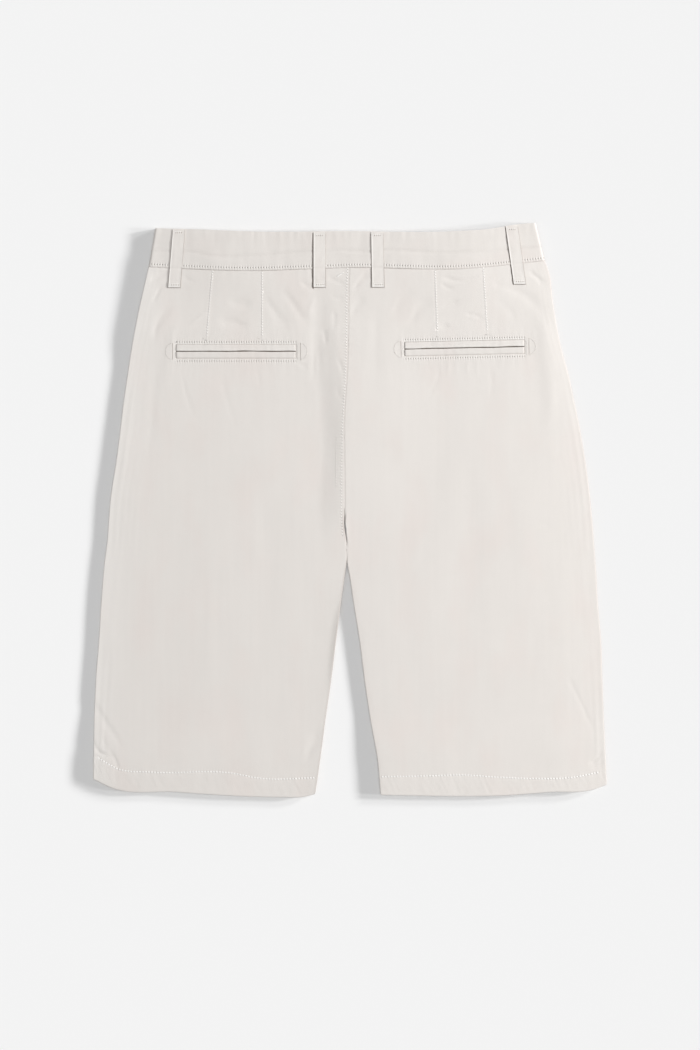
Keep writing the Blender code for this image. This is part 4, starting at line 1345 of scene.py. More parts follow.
def make_panel(leg, layer, materials):
    places = panel_places(leg, layer)
    masks = panel_masks(places, leg, layer)
    bm = cloth_bmesh(places, flat_cut(places, INWARDS[leg]), masks)
    if layer == BACK:
        for top, foot in DARTS[leg]:
            sew_dart(bm, top, foot)
        for pocket in POCKETS:
            if pocket.side == leg:
                open_window(bm, pocket)
        for loop in LOOPS:
            if loop.layer == BACK and (loop.top_x < 0) == (leg == "left"):
                seat_loop(bm, loop, on_panel=True)
    word = "back" if layer == BACK else "front"
    piece_from(bm, f"{word}_panel_{leg}", [materials["cloth"]], f"{word}_{leg}", wall=SHELL)


BAND_ROLL_DEGREES = np.arange(-75, 76, 15)


def band_path(left_x, right_x):
    """The waistband from its outer end at the fly round the left side, the back and the right side."""
    lap_edge = on_section("left_inner", 0.0) + FLY_LAP
    radius = (BAND_BACK_MID - BAND_FRONT_MID) / 2
    middle = (BAND_BACK_MID + BAND_FRONT_MID) / 2
    left_centre = left_x + BAND_CLOTH / 2 + radius
    right_centre = right_x - BAND_CLOTH / 2 - radius
    lap_up = lap_edge + FLY_CLEARANCE

    def run(start, end, steps, height, layer):
        x = np.linspace(start, end, steps)
        return np.stack([x, height - sag(x), np.full(steps, float(layer))], axis=1)

    def roll(centre, side):
        turn = np.radians(BAND_ROLL_DEGREES)
        x = centre + side * radius * np.cos(turn)
        z = middle - sag(centre) - side * radius * np.sin(turn)
        return np.stack([x, z, np.full(len(turn), float(BACK))], axis=1)

    return np.concatenate([
        run(lap_edge, left_centre, 96, BAND_FRONT_MID, FRONT),
        roll(left_centre, -1),
        run(left_centre, right_centre, 300, BAND_BACK_MID, BACK),
        roll(right_centre, 1),
        run(right_centre, lap_up + FLY_STEP, 90, BAND_FRONT_MID, FRONT),
        run(lap_up + FLY_STEP - 2, lap_up + 2, 4, (BAND_FRONT_MID + BAND_LAP_MID) / 2, FRONT),
        run(lap_up, lap_edge - BAND_UNDERLAP, 16, BAND_LAP_MID, FRONT),
    ])


BAND_HEIGHT = 38.0
# The seam allowance inside the band shows as a faint ridge: (x, height above the waist seam)
BAND_RIDGE = (
    (-205, 15.5), (-169, 16.4), (-142, 13.2), (-100, 14.5), (-24, 17.4), (22, 15.8), (37, 17.0), (86, 16.4),
    (205, 13.0),
)
BAND_ROWS = np.array([0, 0.012, 0.03, 0.055, 0.08, 0.11, *np.linspace(0.15, 0.94, 18), 0.97, 0.99, 1.0])
FLAT_BY_BUTTON = 26.0  # so far to each side the band's front stays flat


def band_allowance(x):
    """How high the edge of the seam allowance inside the band lies, and how clearly it shows."""
    strength = np.maximum(0.25, 0.8 + 0.9 * waver(x, 0 * x, 42.0, 1.0, 32.0))
    return on_curve(BAND_RIDGE, x) + 0.7 * waver(x, 0 * x, 14.0, 1.0, 31.0), strength


def band_relief(x, up):
    """Puckers of the band, with up the distance above its lower edge, and the seam allowance inside."""
    allowance, strength = band_allowance(x)
    height = 0.45 * strength * fade(up, allowance - 1.0, allowance + 1.0)
    height -= 0.4 * strength * bump(up - allowance - 1.3, 1.3)
    height += 0.34 * tail(BAND_HEIGHT - up, 8.0) * waver(x, up, 5.0, 24.0, 33.0)
    height += 0.2 * tail(up, 5.0) * waver(x, up, 3.4, 12.0, 34.0)
    height += uneven(x, up, *BAND_SWELLS)
    height -= 0.15 * bump(up - 3.0, 1.0)
    height -= 0.3 * bump(up, 0.7)
    return height


def make_waistband(materials):
    bottom = band_path(on_section("left_side", 0.0), on_section("right_side", 0.0))
    top = band_path(BAND_TOP_LEFT_X, BAND_TOP_RIGHT_X)
    shares = BAND_ROWS[::-1, None]
    low_x, z, layer = bottom.T
    high_x = top[:, 0]
    is_back = layer > 0
    low_y = np.where(is_back, waist_line(low_x, BACK), waist_line(low_x, FRONT)) - BAND_OVERLAP
    high_y = np.where(is_back, band_top_line(high_x, BACK), band_top_line(high_x, FRONT))
    x = low_x + (high_x - low_x) * shares
    y = low_y + (high_y - low_y) * shares
    up = (high_y - low_y) * shares
    middle = (BAND_BACK_MID + BAND_FRONT_MID) / 2 - sag(x)
    outward = np.clip((z - middle) / (BAND_BACK_MID - BAND_FRONT_MID) * 2, -1, 1)
    back_part = band_relief(x, up)
    front_part = np.minimum(back_part, 0.3)
    front_part = np.where(np.abs(x) < FLAT_BY_BUTTON, 0, front_part)
    relief = np.where(outward > 0, back_part * outward, -front_part * -outward)
    heights = np.broadcast_to(z, x.shape) + relief
    places = np.stack([x, y, np.maximum(heights, BAND_CLOTH / 2 + FLOOR_CLEARANCE)], axis=2)
    flat = flat_cut(places) + np.array([0.0, 400.0])
    on_back, on_front = row_masks([waist_row(BACK)], x, y), row_masks([waist_row(FRONT)], x, y)
    masks = {name: np.where(is_back, on_back[name], on_front[name]) for name in on_back}
    # Painted light on the wall at the band's left end, painted shade on the wall at its right end
    wall = fade(outward, 0.0, 0.5) * ramp(outward, -0.99, -0.9)
    # Painted light that makes the back of the band lighter towards the left, and a lighter line along its top
    # edge
    painted_light_left = 0.1 * fade(x, -170.0, -40.0)
    masks["wear_and_highlight"] = (0.12 * bump((1 - shares) * BAND_HEIGHT + 0 * x, 1.2) + painted_light_left) * is_back
    masks["wear_and_highlight"] += FOLD_PAINTED_LIGHT * wall * (x < -60)
    # Painted shade: a little all over, along the foot, under the seam allowance's ridge and on the right
    # end's wall
    allowance, strength = band_allowance(x)
    ridge_shade = 0.05 * strength * bump(up - allowance - 1.6, 1.6) * is_back
    masks["painted_shade"] = 0.025 + 0.12 * bump(up, 0.6) + ridge_shade + FOLD_SHADE * wall * (x > 60)
    bm = cloth_bmesh(places, flat[..., ::-1], masks)
    for loop in LOOPS:
        if loop.layer == BACK:
            seat_loop(bm, loop, on_panel=False)
    piece_from(bm, "waistband_cloth", [materials["cloth"]], "waistband", wall=BAND_CLOTH, bevel=0.5)


def carrying_height(x, y, layer):
    """Height of the outer surface of what a belt loop lies on: the band, or the panel below it."""
    on_band = ramp(y - waist_line(x, layer), -1.5, 1.0)
    if layer == BACK:
        band = BAND_BACK_MID - sag(x) + BAND_CLOTH / 2
        panel = back_height(x, y) + SHELL / 2
    else:
        band = BAND_FRONT_MID - sag(x) - BAND_CLOTH / 2
        leg = "left" if np.mean(x) < 0 else "right"
        panel = front_height(x, y, leg) - SHELL / 2
    return panel + (band - panel) * on_band


def make_loop(loop, materials):
    """A folded strip: its ends are turned under and tacked down, and one side stands off the band."""
    share, across = LOOP_ROWS[:, None], LOOP_COLUMNS
    centre = loop.top_x + (loop.foot_x - loop.top_x) * share
    x = centre + across * LOOP_WIDTH / 2
    y = loop.top_y + (loop.foot_y - loop.top_y) * share + 0 * across
    surface = carrying_height(centre + 0 * across, y, loop.layer)
    arch = on_curve(LOOP_ARCH, share)
    lift = CLEAR + LOOP_WALL / 2 + arch * STAND_OFF[loop.layer]
    lift = lift + arch * loop.lean * (0.2 * -across + 0.05)
    folded_end = fade(share, 0.0, 0.012) * -0.3 + ramp(share, 0.885, 0.91) * 0.42
    folded_end = folded_end - ramp(share, 0.985, 1.0) * 0.35
    along_edges = -0.2 * bump(np.abs(across) - 0.76, 0.08)
    how_creased = 0.4 + 0.6 * waver(loop.top_x, 0.0, 9.0, 1.0, 43.0) ** 2
    creased = -0.35 * bump((share - 0.3) * 60 + across, 1.2) * how_creased
    uneven = 0.22 * waver(across * 3 + loop.top_x, share * 60, 2.5, 9.0, 41.0) + creased
    lowest = LOOP_WALL / 2 + FLOOR_CLEARANCE
    z = surface + loop.layer * np.maximum(lift + folded_end + along_edges + uneven, lowest)
    if loop.layer == FRONT:
        z = np.maximum(z, lowest)
    places = np.stack([x, y, z], axis=2)
    # Painted highlights along the loop's long edges, stronger on the left, and near its foot; painted shade
    # round its outline
    highlit = bump(np.abs(across) - 0.88, 0.07) * np.where(across < 0, 1.0, 0.4)
    highlit = np.maximum(highlit, bump(share - 0.975, 0.012))
    rim_shade = np.where(across < 0, 0.8, 0.5) * bump(np.abs(across) - 1, 0.02)
    masks = {"wear_and_highlight": 0.8 * highlit + 0 * x, "painted_shade": np.maximum(rim_shade, 0.6 * bump(share - 1, 0.004)) + 0 * x}
    bm = cloth_bmesh(places, flat_cut(places), masks)
    node = "belt_loop_" + loop.name
    piece_from(bm, "loop_" + loop.name, [materials["cloth"]], node, wall=LOOP_WALL, bevel=0.3)


# A welt's section, from the seam to the fold at the slit, as (across, height above the panel's cloth)
LIP_SECTION = (
    (7.25, -0.9), (7.1, -0.4), (6.8, -0.05), (6.1, 0.1), (4.8, 0.16), (3.4, 0.22), (2.1, 0.3),
    (1.4, 0.24), (0.85, 0.02), (0.6, -0.4), (0.75, -0.9),
)


def make_lip(pocket, word, materials):
    """One padded lip of a welt pocket."""
    sign = 1 if word == "upper" else -1
    section = np.array(LIP_SECTION)
    along = np.linspace(-1, 1, 70)[None, :] * (WINDOW_WIDTH / 2)
    across, height = section[:, :1] + 0 * along, section[:, 1:] + 0 * along
    slit = fade(section[:, :1], 0.8, 3.0)
    together = 0.75 * waver(along, 0 * along, 27.0, 1.0, 55.0 + pocket.x)
    across = across + sign * slit * together * ramp(WINDOW_WIDTH / 2 - np.abs(along), 0.0, 12.0)
    across = across + slit * (0.34 * waver(along, 0 * along, 15.0, 1.0, 51.0 + sign + pocket.x) - 0.05)
    from_end = WINDOW_WIDTH / 2 - np.abs(along)
    height = height - 0.12 * bump(from_end, 0.8)
    height = height + 0.12 * waver(along, across, 6.0, 9.0, 53.0 + pocket.x) * (height > -0.3)
    x, y = from_pocket(pocket, along, sign * across)
    places = np.stack([x, y, back_height(x, y) + height + CLEAR], axis=2)
    # Painted shade in the slit, along the seam and at the ends; a painted highlight on the upper lip by the
    # slit
    slit_shade = 0.8 * ramp(-section[:, 1:], 0.0, 0.5) * (section[:, :1] < 2)
    painted_shade = 0.4 * bump(section[:, :1] - 7.3, 0.3) + slit_shade + 0.12 * bump(from_end, 0.7)
    wear_and_highlight = 0.35 * bump(section[:, :1] - 1.6, 0.8) * (sign > 0) + 0 * along
    masks = {"wear_and_highlight": wear_and_highlight, "painted_shade": np.clip(painted_shade, 0, 1)}
    if sign < 0:
        places = places[:, ::-1]
        masks = {name: mask[:, ::-1] for name, mask in masks.items()}
    bm = cloth_bmesh(places, flat_cut(places, sign), masks)
    node = f"welt_{pocket.side}_{word}"
    piece_from(bm, f"lip_{pocket.side}_{word}", [materials["cloth"]], node, wall=FACING_CLOTH)


def unmarked(x):
    return {"wear_and_highlight": 0 * x, "painted_shade": 0 * x}


def make_facing(pocket, materials):
    """The strip of cloth behind the slit, darkened all over by painted shade."""
    half_w, half_h = WINDOW_WIDTH / 2 + FACING_MARGIN, WINDOW_HEIGHT / 2 + FACING_MARGIN
    along = np.linspace(-half_w, half_w, 60)[None, :]
    across = np.linspace(half_h, -half_h, 14)[:, None]
    x, y = from_pocket(pocket, along, across)
    places = np.stack([x, y, back_height(x, y) - LAYER_PITCH - 0.12], axis=2)
    bm = cloth_bmesh(places, flat_cut(places), unmarked(x))
    node = "pocket_facing_" + pocket.side
    piece_from(bm, "facing_" + pocket.side, [materials["inside"]], node, wall=FACING_CLOTH)


# ---------------------------------------------------------------- stitching


def needle_place(tree, x, y, layer):
    """Where a needle at (x, y) meets the outer surface, and its normal; None for both beside the cloth."""
    start = Vector((x * MM, y * MM, NEEDLE_FROM * layer))
    place, normal, _, _ = tree.ray_cast(start, Vector((0, 0, -layer)))
    if place is None:
        return None, None
    return place, normal if normal.z * layer > 0 else -normal


def walk(line, pitch):
    """Evenly spaced places along a line, with their directions."""
    line = np.array(line, float)
    lengths = run_lengths(line)
    along = np.concatenate([[0.0], np.cumsum(lengths)])
    at = (np.arange(int(along[-1] / pitch)) + 0.5) * pitch
    x, y = (np.interp(at, along, line[:, k]) for k in (0, 1))
    ahead_x, ahead_y = (np.interp(at + 0.3, along, line[:, k]) for k in (0, 1))
    behind_x, behind_y = (np.interp(at - 0.3, along, line[:, k]) for k in (0, 1))
    turn = np.arctan2(ahead_y - behind_y, ahead_x - behind_x)
    return list(zip(x, y, turn))


class Seam:
    """Gathers, as one piece, the stitches of the seams that go through another and the dark discs of painted
    shade at their needle holes.
    """

    def __init__(self, through, layer=BACK):
        self.bm = bmesh.new()
        self.tree = BVHTree.FromObject(bpy.data.objects[through], bpy.context.evaluated_depsgraph_get())
        self.layer = layer
        self.count = 0

    def frame_at(self, x, y, turn, raised, height=0.0):
        place, normal = needle_place(self.tree, x, y, self.layer)
        if place is None:
            return None
        if self.layer == FRONT:  # the garment's weight presses these into the cloth
            raised = min(raised, place.z / MM - STITCH_CLEARANCE - height)
        ahead = Vector((math.cos(turn), math.sin(turn), 0))
        ahead = (ahead - normal * ahead.dot(normal)).normalized()
        side = normal.cross(ahead)
        basis = Matrix((ahead, side, normal)).transposed().to_4x4()
        return Matrix.Translation(place + normal * raised * MM) @ basis

    def stitch(self, x, y, turn, length, width):
        """One thread lying on the cloth, sunk a little at both ends."""
        self.count += 1
        uneven = noise.noise((self.count * 0.73, x * 0.1, y * 0.1))
        frame_here = self.frame_at(x, y, turn + STITCH_TURNED * uneven, STITCH_RAISED, STITCH_HEIGHT)
        if frame_here is None or abs(frame_here[2][2]) < STEEPEST_SEWN:
            return
        length = length * (1 + STITCH_STRETCHED * uneven)
        size = Matrix.Diagonal((length, width, STITCH_HEIGHT, 1)) * MM
        size[3][3] = 1
        shape = frame_here @ size @ Matrix.Rotation(math.pi / 2, 4, "Y")
        made = bmesh.ops.create_uvsphere(self.bm, u_segments=6, v_segments=5, radius=1.0, matrix=shape)
        for face in faces_of(made):
            face.smooth = True

    def hole(self, x, y, turn, radius):
        """A dark disc of painted shade where the needle went in."""
        frame_here = self.frame_at(x, y, turn, HOLE_RAISED)
        if frame_here is None:
            return
        disc = {"cap_ends": True, "segments": 7, "radius": radius * MM, "matrix": frame_here}
        made = bmesh.ops.create_circle(self.bm, **disc)
        for face in faces_of(made):
            face.material_index = 1

    def row(self, row, fill=STITCH_FILL, width=STITCH_WIDTH, holes=HOLE_RADIUS, skip=None):
        """A row of lockstitches along a line, except where it is skipped."""
        for x, y, turn in walk(row.line, row.pitch):
            if skip and skip(x):
                continue
            self.stitch(x, y, turn, row.pitch * fill, width)
            if holes:
                step = row.pitch / 2
                self.hole(x + step * math.cos(turn), y + step * math.sin(turn), turn, holes)

    def bar(self, line, reach, pitch=TACK_PITCH, width=0.3):
        """A bar tack: close stitches across a short line."""
        for x, y, turn in walk(line, pitch):
            self.stitch(x, y, turn + math.pi / 2, reach, width)

    def finish(self, name, materials):
        piece_from(self.bm, name, [materials["thread"], materials["hole"]])


def under_loop(x):
    """Whether the waist seam is hidden by a belt loop of the back here."""
    middles = [(loop.top_x + 2 * loop.foot_x) / 3 for loop in LOOPS if loop.layer == BACK]
    return any(abs(x - middle) < LOOP_WIDTH / 2 + 0.6 for middle in middles)


def covered_in_front(x):
    """Whether it is hidden in front: by a belt loop, at the lap's edge or in the roll of a side."""
    return 105 < abs(x) < 121 or 5 < x < 10 or abs(x) > 195


def sew_waist(materials):
    """Edge-stitching along the foot of the band, back and front."""
    seam = Seam("waistband_cloth")
    seam.row(waist_row(BACK), width=0.42, skip=under_loop)
    seam.finish("stitches_waist_back", materials)
    seam = Seam("waistband_cloth", FRONT)
    seam.row(waist_row(FRONT), skip=covered_in_front)
    seam.finish("stitches_waist_front", materials)


def sew_loops(materials):
    for loop in LOOPS:
        seam = Seam("loop_" + loop.name, loop.layer)
        for end_y, (from_end, half) in zip((loop.top_y, loop.foot_y), LOOP_TACKS):
            y = end_y + from_end
            x = loop_x(loop, y)
            for above, holes in ((0.0, 0.5), (LOOP_TACK_GAP, 0.0)):
                line = [(x - half, y + above), (x + half, y + above)]
                seam.row(Row(LOOP_TACK_PITCH, line), width=0.34, holes=holes)
        seam.finish("tacks_" + loop.name, materials)


def sew_centre_back(materials):
    seam = Seam("back_panel_left")
    row = centre_row()
    seam.row(row, fill=0.31, width=0.42, holes=0.24)
    drops = WAIST_Y - row.line[:, 1]
    beside = (drops > SECOND_ROW_DROPS[0]) & (drops < SECOND_ROW_DROPS[1])
    second = row.line[beside] - (SECOND_ROW_LEFT, 0.0)
    seam.row(Row(SEAM_PITCH, second), width=0.24, holes=0.3)
    seam.bar(CENTRE_TACK, 0.8, pitch=0.9)
    seam.finish("stitches_centre_back", materials)


def sew_darts(materials):
    for leg in LEGS:
        seam = Seam("back_panel_" + leg)
        for dart in DARTS[leg]:
            seam.row(dart_row(*dart), fill=0.38, width=0.44, holes=0.22)
        seam.finish("stitches_darts_" + leg, materials)


def sew_pockets(materials):
    """The rows round each window, and the curved tacks at its ends."""
    for pocket in POCKETS:
        seam = Seam("back_panel_" + pocket.side)
        for row in pocket_rows(pocket):
            seam.row(row, width=0.36)
        out, high = POCKET_ARC
        for side, end in zip((-1, 1), POCKET_END_LINES):
            turns = np.linspace(-math.pi / 2, math.pi / 2, 12)
            arc = [from_pocket(pocket, end + side * out * math.cos(a), high * math.sin(a)) for a in turns]
            seam.row(Row(ARC_PITCH, arc), width=0.34)
            column = [from_pocket(pocket, end - side * POCKET_COLUMN_IN, b) for b in POCKET_COLUMN]
            seam.row(Row(COLUMN_PITCH, column), width=0.26, holes=0.26 if side > 0 else 0.0)
        seam.finish("stitches_pocket_" + pocket.side, materials)


def sew_hems(materials):
    for leg in LEGS:
        for word, layer in (("back", BACK), ("front", FRONT)):
            seam = Seam(f"{word}_panel_{leg}", layer)
            seam.row(hem_row(leg), fill=0.4, width=0.8, holes=0.3)
            seam.finish(f"stitches_hem_{word}_{leg}", materials)


def sew_fly(materials):
    """The fly's double row on the left front, curving in at its foot, and its tack."""
    seam = Seam("front_panel_left", FRONT)
    for inset in FLY_ROWS:
        x = inner_edge("left", FRONT, 0.0) - inset
        foot_y = WAIST_Y - (FLY_DROP + (inset - FLY_ROWS[0]))
        curve = [
            (x + (inset - FLY_LAP) * (1 + math.cos(a)), foot_y + FLY_CURVE * (1 + math.sin(a)))
            for a in np.linspace(math.pi, math.pi * 1.5, 12)
        ]
        line = [(x, FLY_ROWS_TOP_Y), (x, foot_y + FLY_CURVE), *curve]
        seam.row(Row(SEAM_PITCH, line))
    seam.bar([(-4.0, WAIST_Y - FLY_DROP - 2.0), (2.0, WAIST_Y - FLY_DROP - 2.0)], 1.0)
    seam.finish("stitches_fly", materials)


# ---------------------------------------------------------------- fastenings


def make_zip(materials):
    """Closed coil zip: a woven tape with the interlocked coil down its middle."""
    drops = np.array([ZIP_TOP_DROP, *np.linspace(8, FLY_DROP, 46)])[:, None]
    right_x = on_section("left_inner", drops) - FLY_UNDERLAP - GAP
    share = np.linspace(0, 1, 17)[None, :]
    x = right_x - (1 - share) * ZIP_WIDTH
    y = y_of(x, drops, FRONT)
    flat_front = rest_height(FRONT, waist_line(x, FRONT) - y, x)
    cord = ZIP_CORD * bump(share - 0.5, 0.13)
    places = np.stack([x, y, flat_front + LAYER_PITCH + cord], axis=2)
    bm = cloth_bmesh(places, flat_cut(places), unmarked(x))
    piece_from(bm, "zip_tape", [materials["tape"]], "fly_zip", wall=0.5)
    bm = bmesh.new()
    line = np.stack([x[:, 8], y[:, 8]], axis=1)
    heights = places[:, 8, 2]
    for number, (cx, cy, turn) in enumerate(walk(line, COIL_PITCH)):
        cz = np.interp(-cy, -line[:, 1], heights) + COIL_RAISED
        lean = COIL_LEAN if number % 2 else -COIL_LEAN
        matrix = Matrix.Translation(Vector((cx, cy, cz)) * MM)
        matrix = matrix @ Matrix.Rotation(turn + math.pi / 2 + lean, 4, "Z")
        size = Matrix.Diagonal((*[half * MM for half in COIL_HALF_SIZE], 1))
        made = bmesh.ops.create_uvsphere(bm, u_segments=8, v_segments=5, radius=1.0, matrix=matrix @ size)
        for face in faces_of(made):
            face.smooth = True
    piece_from(bm, "zip_coil", [materials["tape"]])


# Half the section of the button and its shank, as (radius, height), from the shank round to its face
BUTTON_PROFILE = (
    (1.0, 4.1), (1.0, 2.2), (6.6, 2.2), (7.5, 2.0), (8.0, 1.5), (8.0, 0.8), (7.6, 0.2), (6.9, 0.0),
    (6.2, 0.08), (5.5, 0.55), (4.6, 0.72), (0.0, 0.72),
)


def button_place():
    x = on_section("left_inner", 0.0) + FLY_LAP - BUTTON_FROM_LAP_EDGE
    return float(x), float((waist_line(x, FRONT) + band_top_line(x, FRONT)) / 2)


def make_button(materials):
    """A turned four-hole button, face down, sewn on with a cross of thread."""
    x, y = button_place()
    bm = bmesh.new()
    points = [Vector((radius * MM, 0, height * MM)) for radius, height in BUTTON_PROFILE]
    verts = [bm.verts.new(point) for point in points]
    edges = [bm.edges.new(pair) for pair in zip(verts, verts[1:])]
    whole = {"cent": (0, 0, 0), "axis": (0, 0, 1), "angle": 2 * math.pi, "steps": 48}
    bmesh.ops.spin(bm, geom=verts + edges, use_merge=True, **whole)
    bmesh.ops.remove_doubles(bm, verts=bm.verts, dist=1e-6)
    bmesh.ops.holes_fill(bm, edges=[edge for edge in bm.edges if edge.is_boundary])
    bmesh.ops.recalc_face_normals(bm, faces=bm.faces)
    for face in bm.faces:
        face.smooth = abs(face.normal.z) < 0.99
    bmesh.ops.translate(bm, verts=bm.verts, vec=Vector((x, y, 0)) * MM)
    piece_from(bm, "horn_button", [horn_material()], "waist_button")
    bm = bmesh.new()
    for turn in (math.pi / 4, -math.pi / 4):
        for side in (-THREAD_SPACING, 0.0, THREAD_SPACING):
            middle = Vector((x - side * math.sin(turn), y + side * math.cos(turn), THREAD_Z)) * MM
            matrix = Matrix.Translation(middle) @ Matrix.Rotation(turn, 4, "Z")
            matrix = matrix @ Matrix.Diagonal((*[half * MM for half in THREAD_HALF_SIZE], 1))
            bmesh.ops.create_uvsphere(bm, u_segments=10, v_segments=6, radius=1.0, matrix=matrix)
    # The button's four holes, as dark discs of painted shade
    for turn in (math.radians(45 + 90 * number) for number in range(4)):
        hole_x, hole_y = x + EYE_FROM_MIDDLE * math.cos(turn), y + EYE_FROM_MIDDLE * math.sin(turn)
        place = Matrix.Translation(Vector((hole_x, hole_y, EYE_Z)) * MM)
        made = bmesh.ops.create_circle(bm, cap_ends=True, segments=16, radius=EYE_RADIUS * MM, matrix=place)
        for face in faces_of(made):
            face.material_index = 1
    piece_from(bm, "button_thread", [materials["thread"], materials["hole"]])
    seam = Seam("waistband_cloth", FRONT)
    start, end = (x + past for past in BUTTONHOLE)
    for across in (-BUTTONHOLE_LIP, BUTTONHOLE_LIP):
        line = [(start, y + across), (end, y + across)]
        seam.bar(line, 0.8, pitch=0.6, width=0.24)
    seam.finish("stitches_buttonhole", materials)


# ---------------------------------------------------------------- sheets


def declare_sheets():
    """Gathers, for each sheet of cloth, the names of the pieces that lie on it or are sewn to it; nothing
    further is done with these lists.
    """
    for leg in LEGS:
        on_front = ["stitches_hem_front_" + leg]
        on_back = ["facing_" + leg, f"lip_{leg}_upper", f"lip_{leg}_lower", "stitches_pocket_" + leg]
        on_back += ["stitches_darts_" + leg, "stitches_hem_back_" + leg]
        if leg == "left":
            on_front += ["stitches_fly", "zip_tape", "zip_coil"]
            on_back += ["stitches_centre_back"]
    on_band = ["stitches_waist_back", "stitches_waist_front", "stitches_buttonhole"]
    on_band += [word + loop.name for loop in LOOPS for word in ("loop_", "tacks_")]


# ---------------------------------------------------------------- stage

FLOOR_GAP = 0.00005
LAMP_DISTANCE = 3.0
FLOOR_LIGHTS = ((-14.0, 0.25), (0.0, 0.5), (14.0, 0.25))  # turn from the azimuth, share of the light
CAMERA_PLACE = (0.00105, -0.016, 2.608)
CAMERA_LENS, CAMERA_SENSOR, CAMERA_CLIP = 85.0, 36.0, (0.05, 50.0)


def make_floor(stage):
    bm = bmesh.new()
    bmesh.ops.create_grid(bm, x_segments=1, y_segments=1, size=stage.floor_size / 2)
    bmesh.ops.translate(bm, verts=bm.verts, vec=(0, 0, -FLOOR_GAP))
    mesh = bpy.data.meshes.new("floor")
    bm.to_mesh(mesh)
    bm.free()
    floor = add_object("floor", mesh)
    material, _, sockets = new_material("pale_floor", roughness=0.95, level=0.0)
    sockets["Base Color"].default_value = (*[stage.floor_tone] * 3, 1)
    mesh.materials.append(material)
    return floor


def add_lamp(name, kind, energy, azimuth, elevation, distance=LAMP_DISTANCE):
    """A lamp that looks at the middle of the floor, from azimuth 0 at +X or a quarter turn at +Y."""
    lamp = bpy.data.lights.new(name, kind)
    lamp.energy = energy
    level = math.cos(elevation)
    back = Vector((math.cos(azimuth) * level, math.sin(azimuth) * level, math.sin(elevation)))
    obj = add_object(name, lamp)
    obj.location = back * distance
    obj.rotation_euler = (-back).to_track_quat("-Z", "Y").to_euler()
    return obj


def light_only(lamp, floor, floor_only):
    """Lets a lamp light only the floor, or everything but the floor."""
    receivers = bpy.data.collections.new("lit_by_" + lamp.name)
    receivers.objects.link(floor)
    lamp.light_linking.receiver_collection = receivers
    if not floor_only:
        receivers.collection_objects[0].light_linking.link_state = "EXCLUDE"


def make_lights(stage, floor):
    elevation = stage.floor_light_elevation
    for number, (turn, share) in enumerate(FLOOR_LIGHTS):
        energy = share * stage.floor_light * math.pi / math.sin(elevation)
        azimuth = stage.azimuth + math.radians(turn)
        sun = add_lamp(f"floor_light_{number + 1}", "SUN", energy, azimuth, elevation)
        sun.data.angle = stage.floor_light_spread
        light_only(sun, floor, True)
    overhead = add_lamp("overhead_light", "SUN", stage.overhead_light * math.pi, 0.0, math.pi / 2)
    overhead.data.angle = stage.overhead_spread

    elevation, distance = stage.cloth_light_elevation, stage.cloth_light_distance
    energy = stage.cloth_light * math.pi**2 * distance**2 / math.sin(elevation)
    soft = add_lamp("cloth_light", "AREA", energy, stage.cloth_azimuth, elevation, distance)
    soft.data.shape = "DISK"
    soft.data.size = stage.cloth_light_size
    light_only(soft, floor, False)


def make_stage(context):
    stage, scene = context.scene.shorts_stage, context.scene
    make_lights(stage, make_floor(stage))
    scene.world = bpy.data.worlds.new("soft_sky")
    scene.world.use_nodes = True
    sky = scene.world.node_tree.nodes["Background"].inputs
    sky["Color"].default_value = (1.0, 1.0, 1.0, 1)
    sky["Strength"].default_value = stage.sky_strength

    lens = bpy.data.cameras.new("camera")
    lens.lens, lens.sensor_width = CAMERA_LENS, CAMERA_SENSOR
    lens.clip_start, lens.clip_end = CAMERA_CLIP
    camera = add_object("camera", lens)
    camera.location = CAMERA_PLACE
    bpy.context.scene.camera = camera
    view = scene.view_settings
    view.view_transform = "Standard"
    view.look = "None"
    view.exposure = 0.0
    view.gamma = 1.0


# ---------------------------------------------------------------- add-on


def colour_setting(name, description, default):
    return FloatVectorProperty(
        name=name, description=description, subtype="COLOR", default=default, min=0.0, max=1.0
    )


def setting(name, description, default, low=0.0, high=10.0, **kind):
    return FloatProperty(name=name, description=description, default=default, min=low, max=high, **kind)


def length_setting(name, description, default, low):
    return setting(name, description, default, low, 100.0, subtype="DISTANCE", unit="LENGTH")


def angle_setting(name, description, degrees, low=0.0, high=90.0):
    radians, low, high = (math.radians(value) for value in (degrees, low, high))
    return setting(name, description, radians, low, high, subtype="ANGLE", unit="ROTATION")


class ShortsColours(bpy.types.PropertyGroup):
    """Colours of the sewn pieces."""

    cloth: colour_setting("Cloth", "Colour of the washed twill", (0.783, 0.745, 0.708))
    thread: colour_setting("Thread", "Colour of the stitching", (0.98, 0.965, 0.94))
    # Colour of the painted shade in the needle holes and the button's holes
    needle_hole_shade: colour_setting("Needle hole", "Colour inside the needle holes", (0.3, 0.245, 0.2))
    zip_tape: colour_setting("Zip tape", "Colour of the zip's tape and coil", (0.72, 0.69, 0.64))


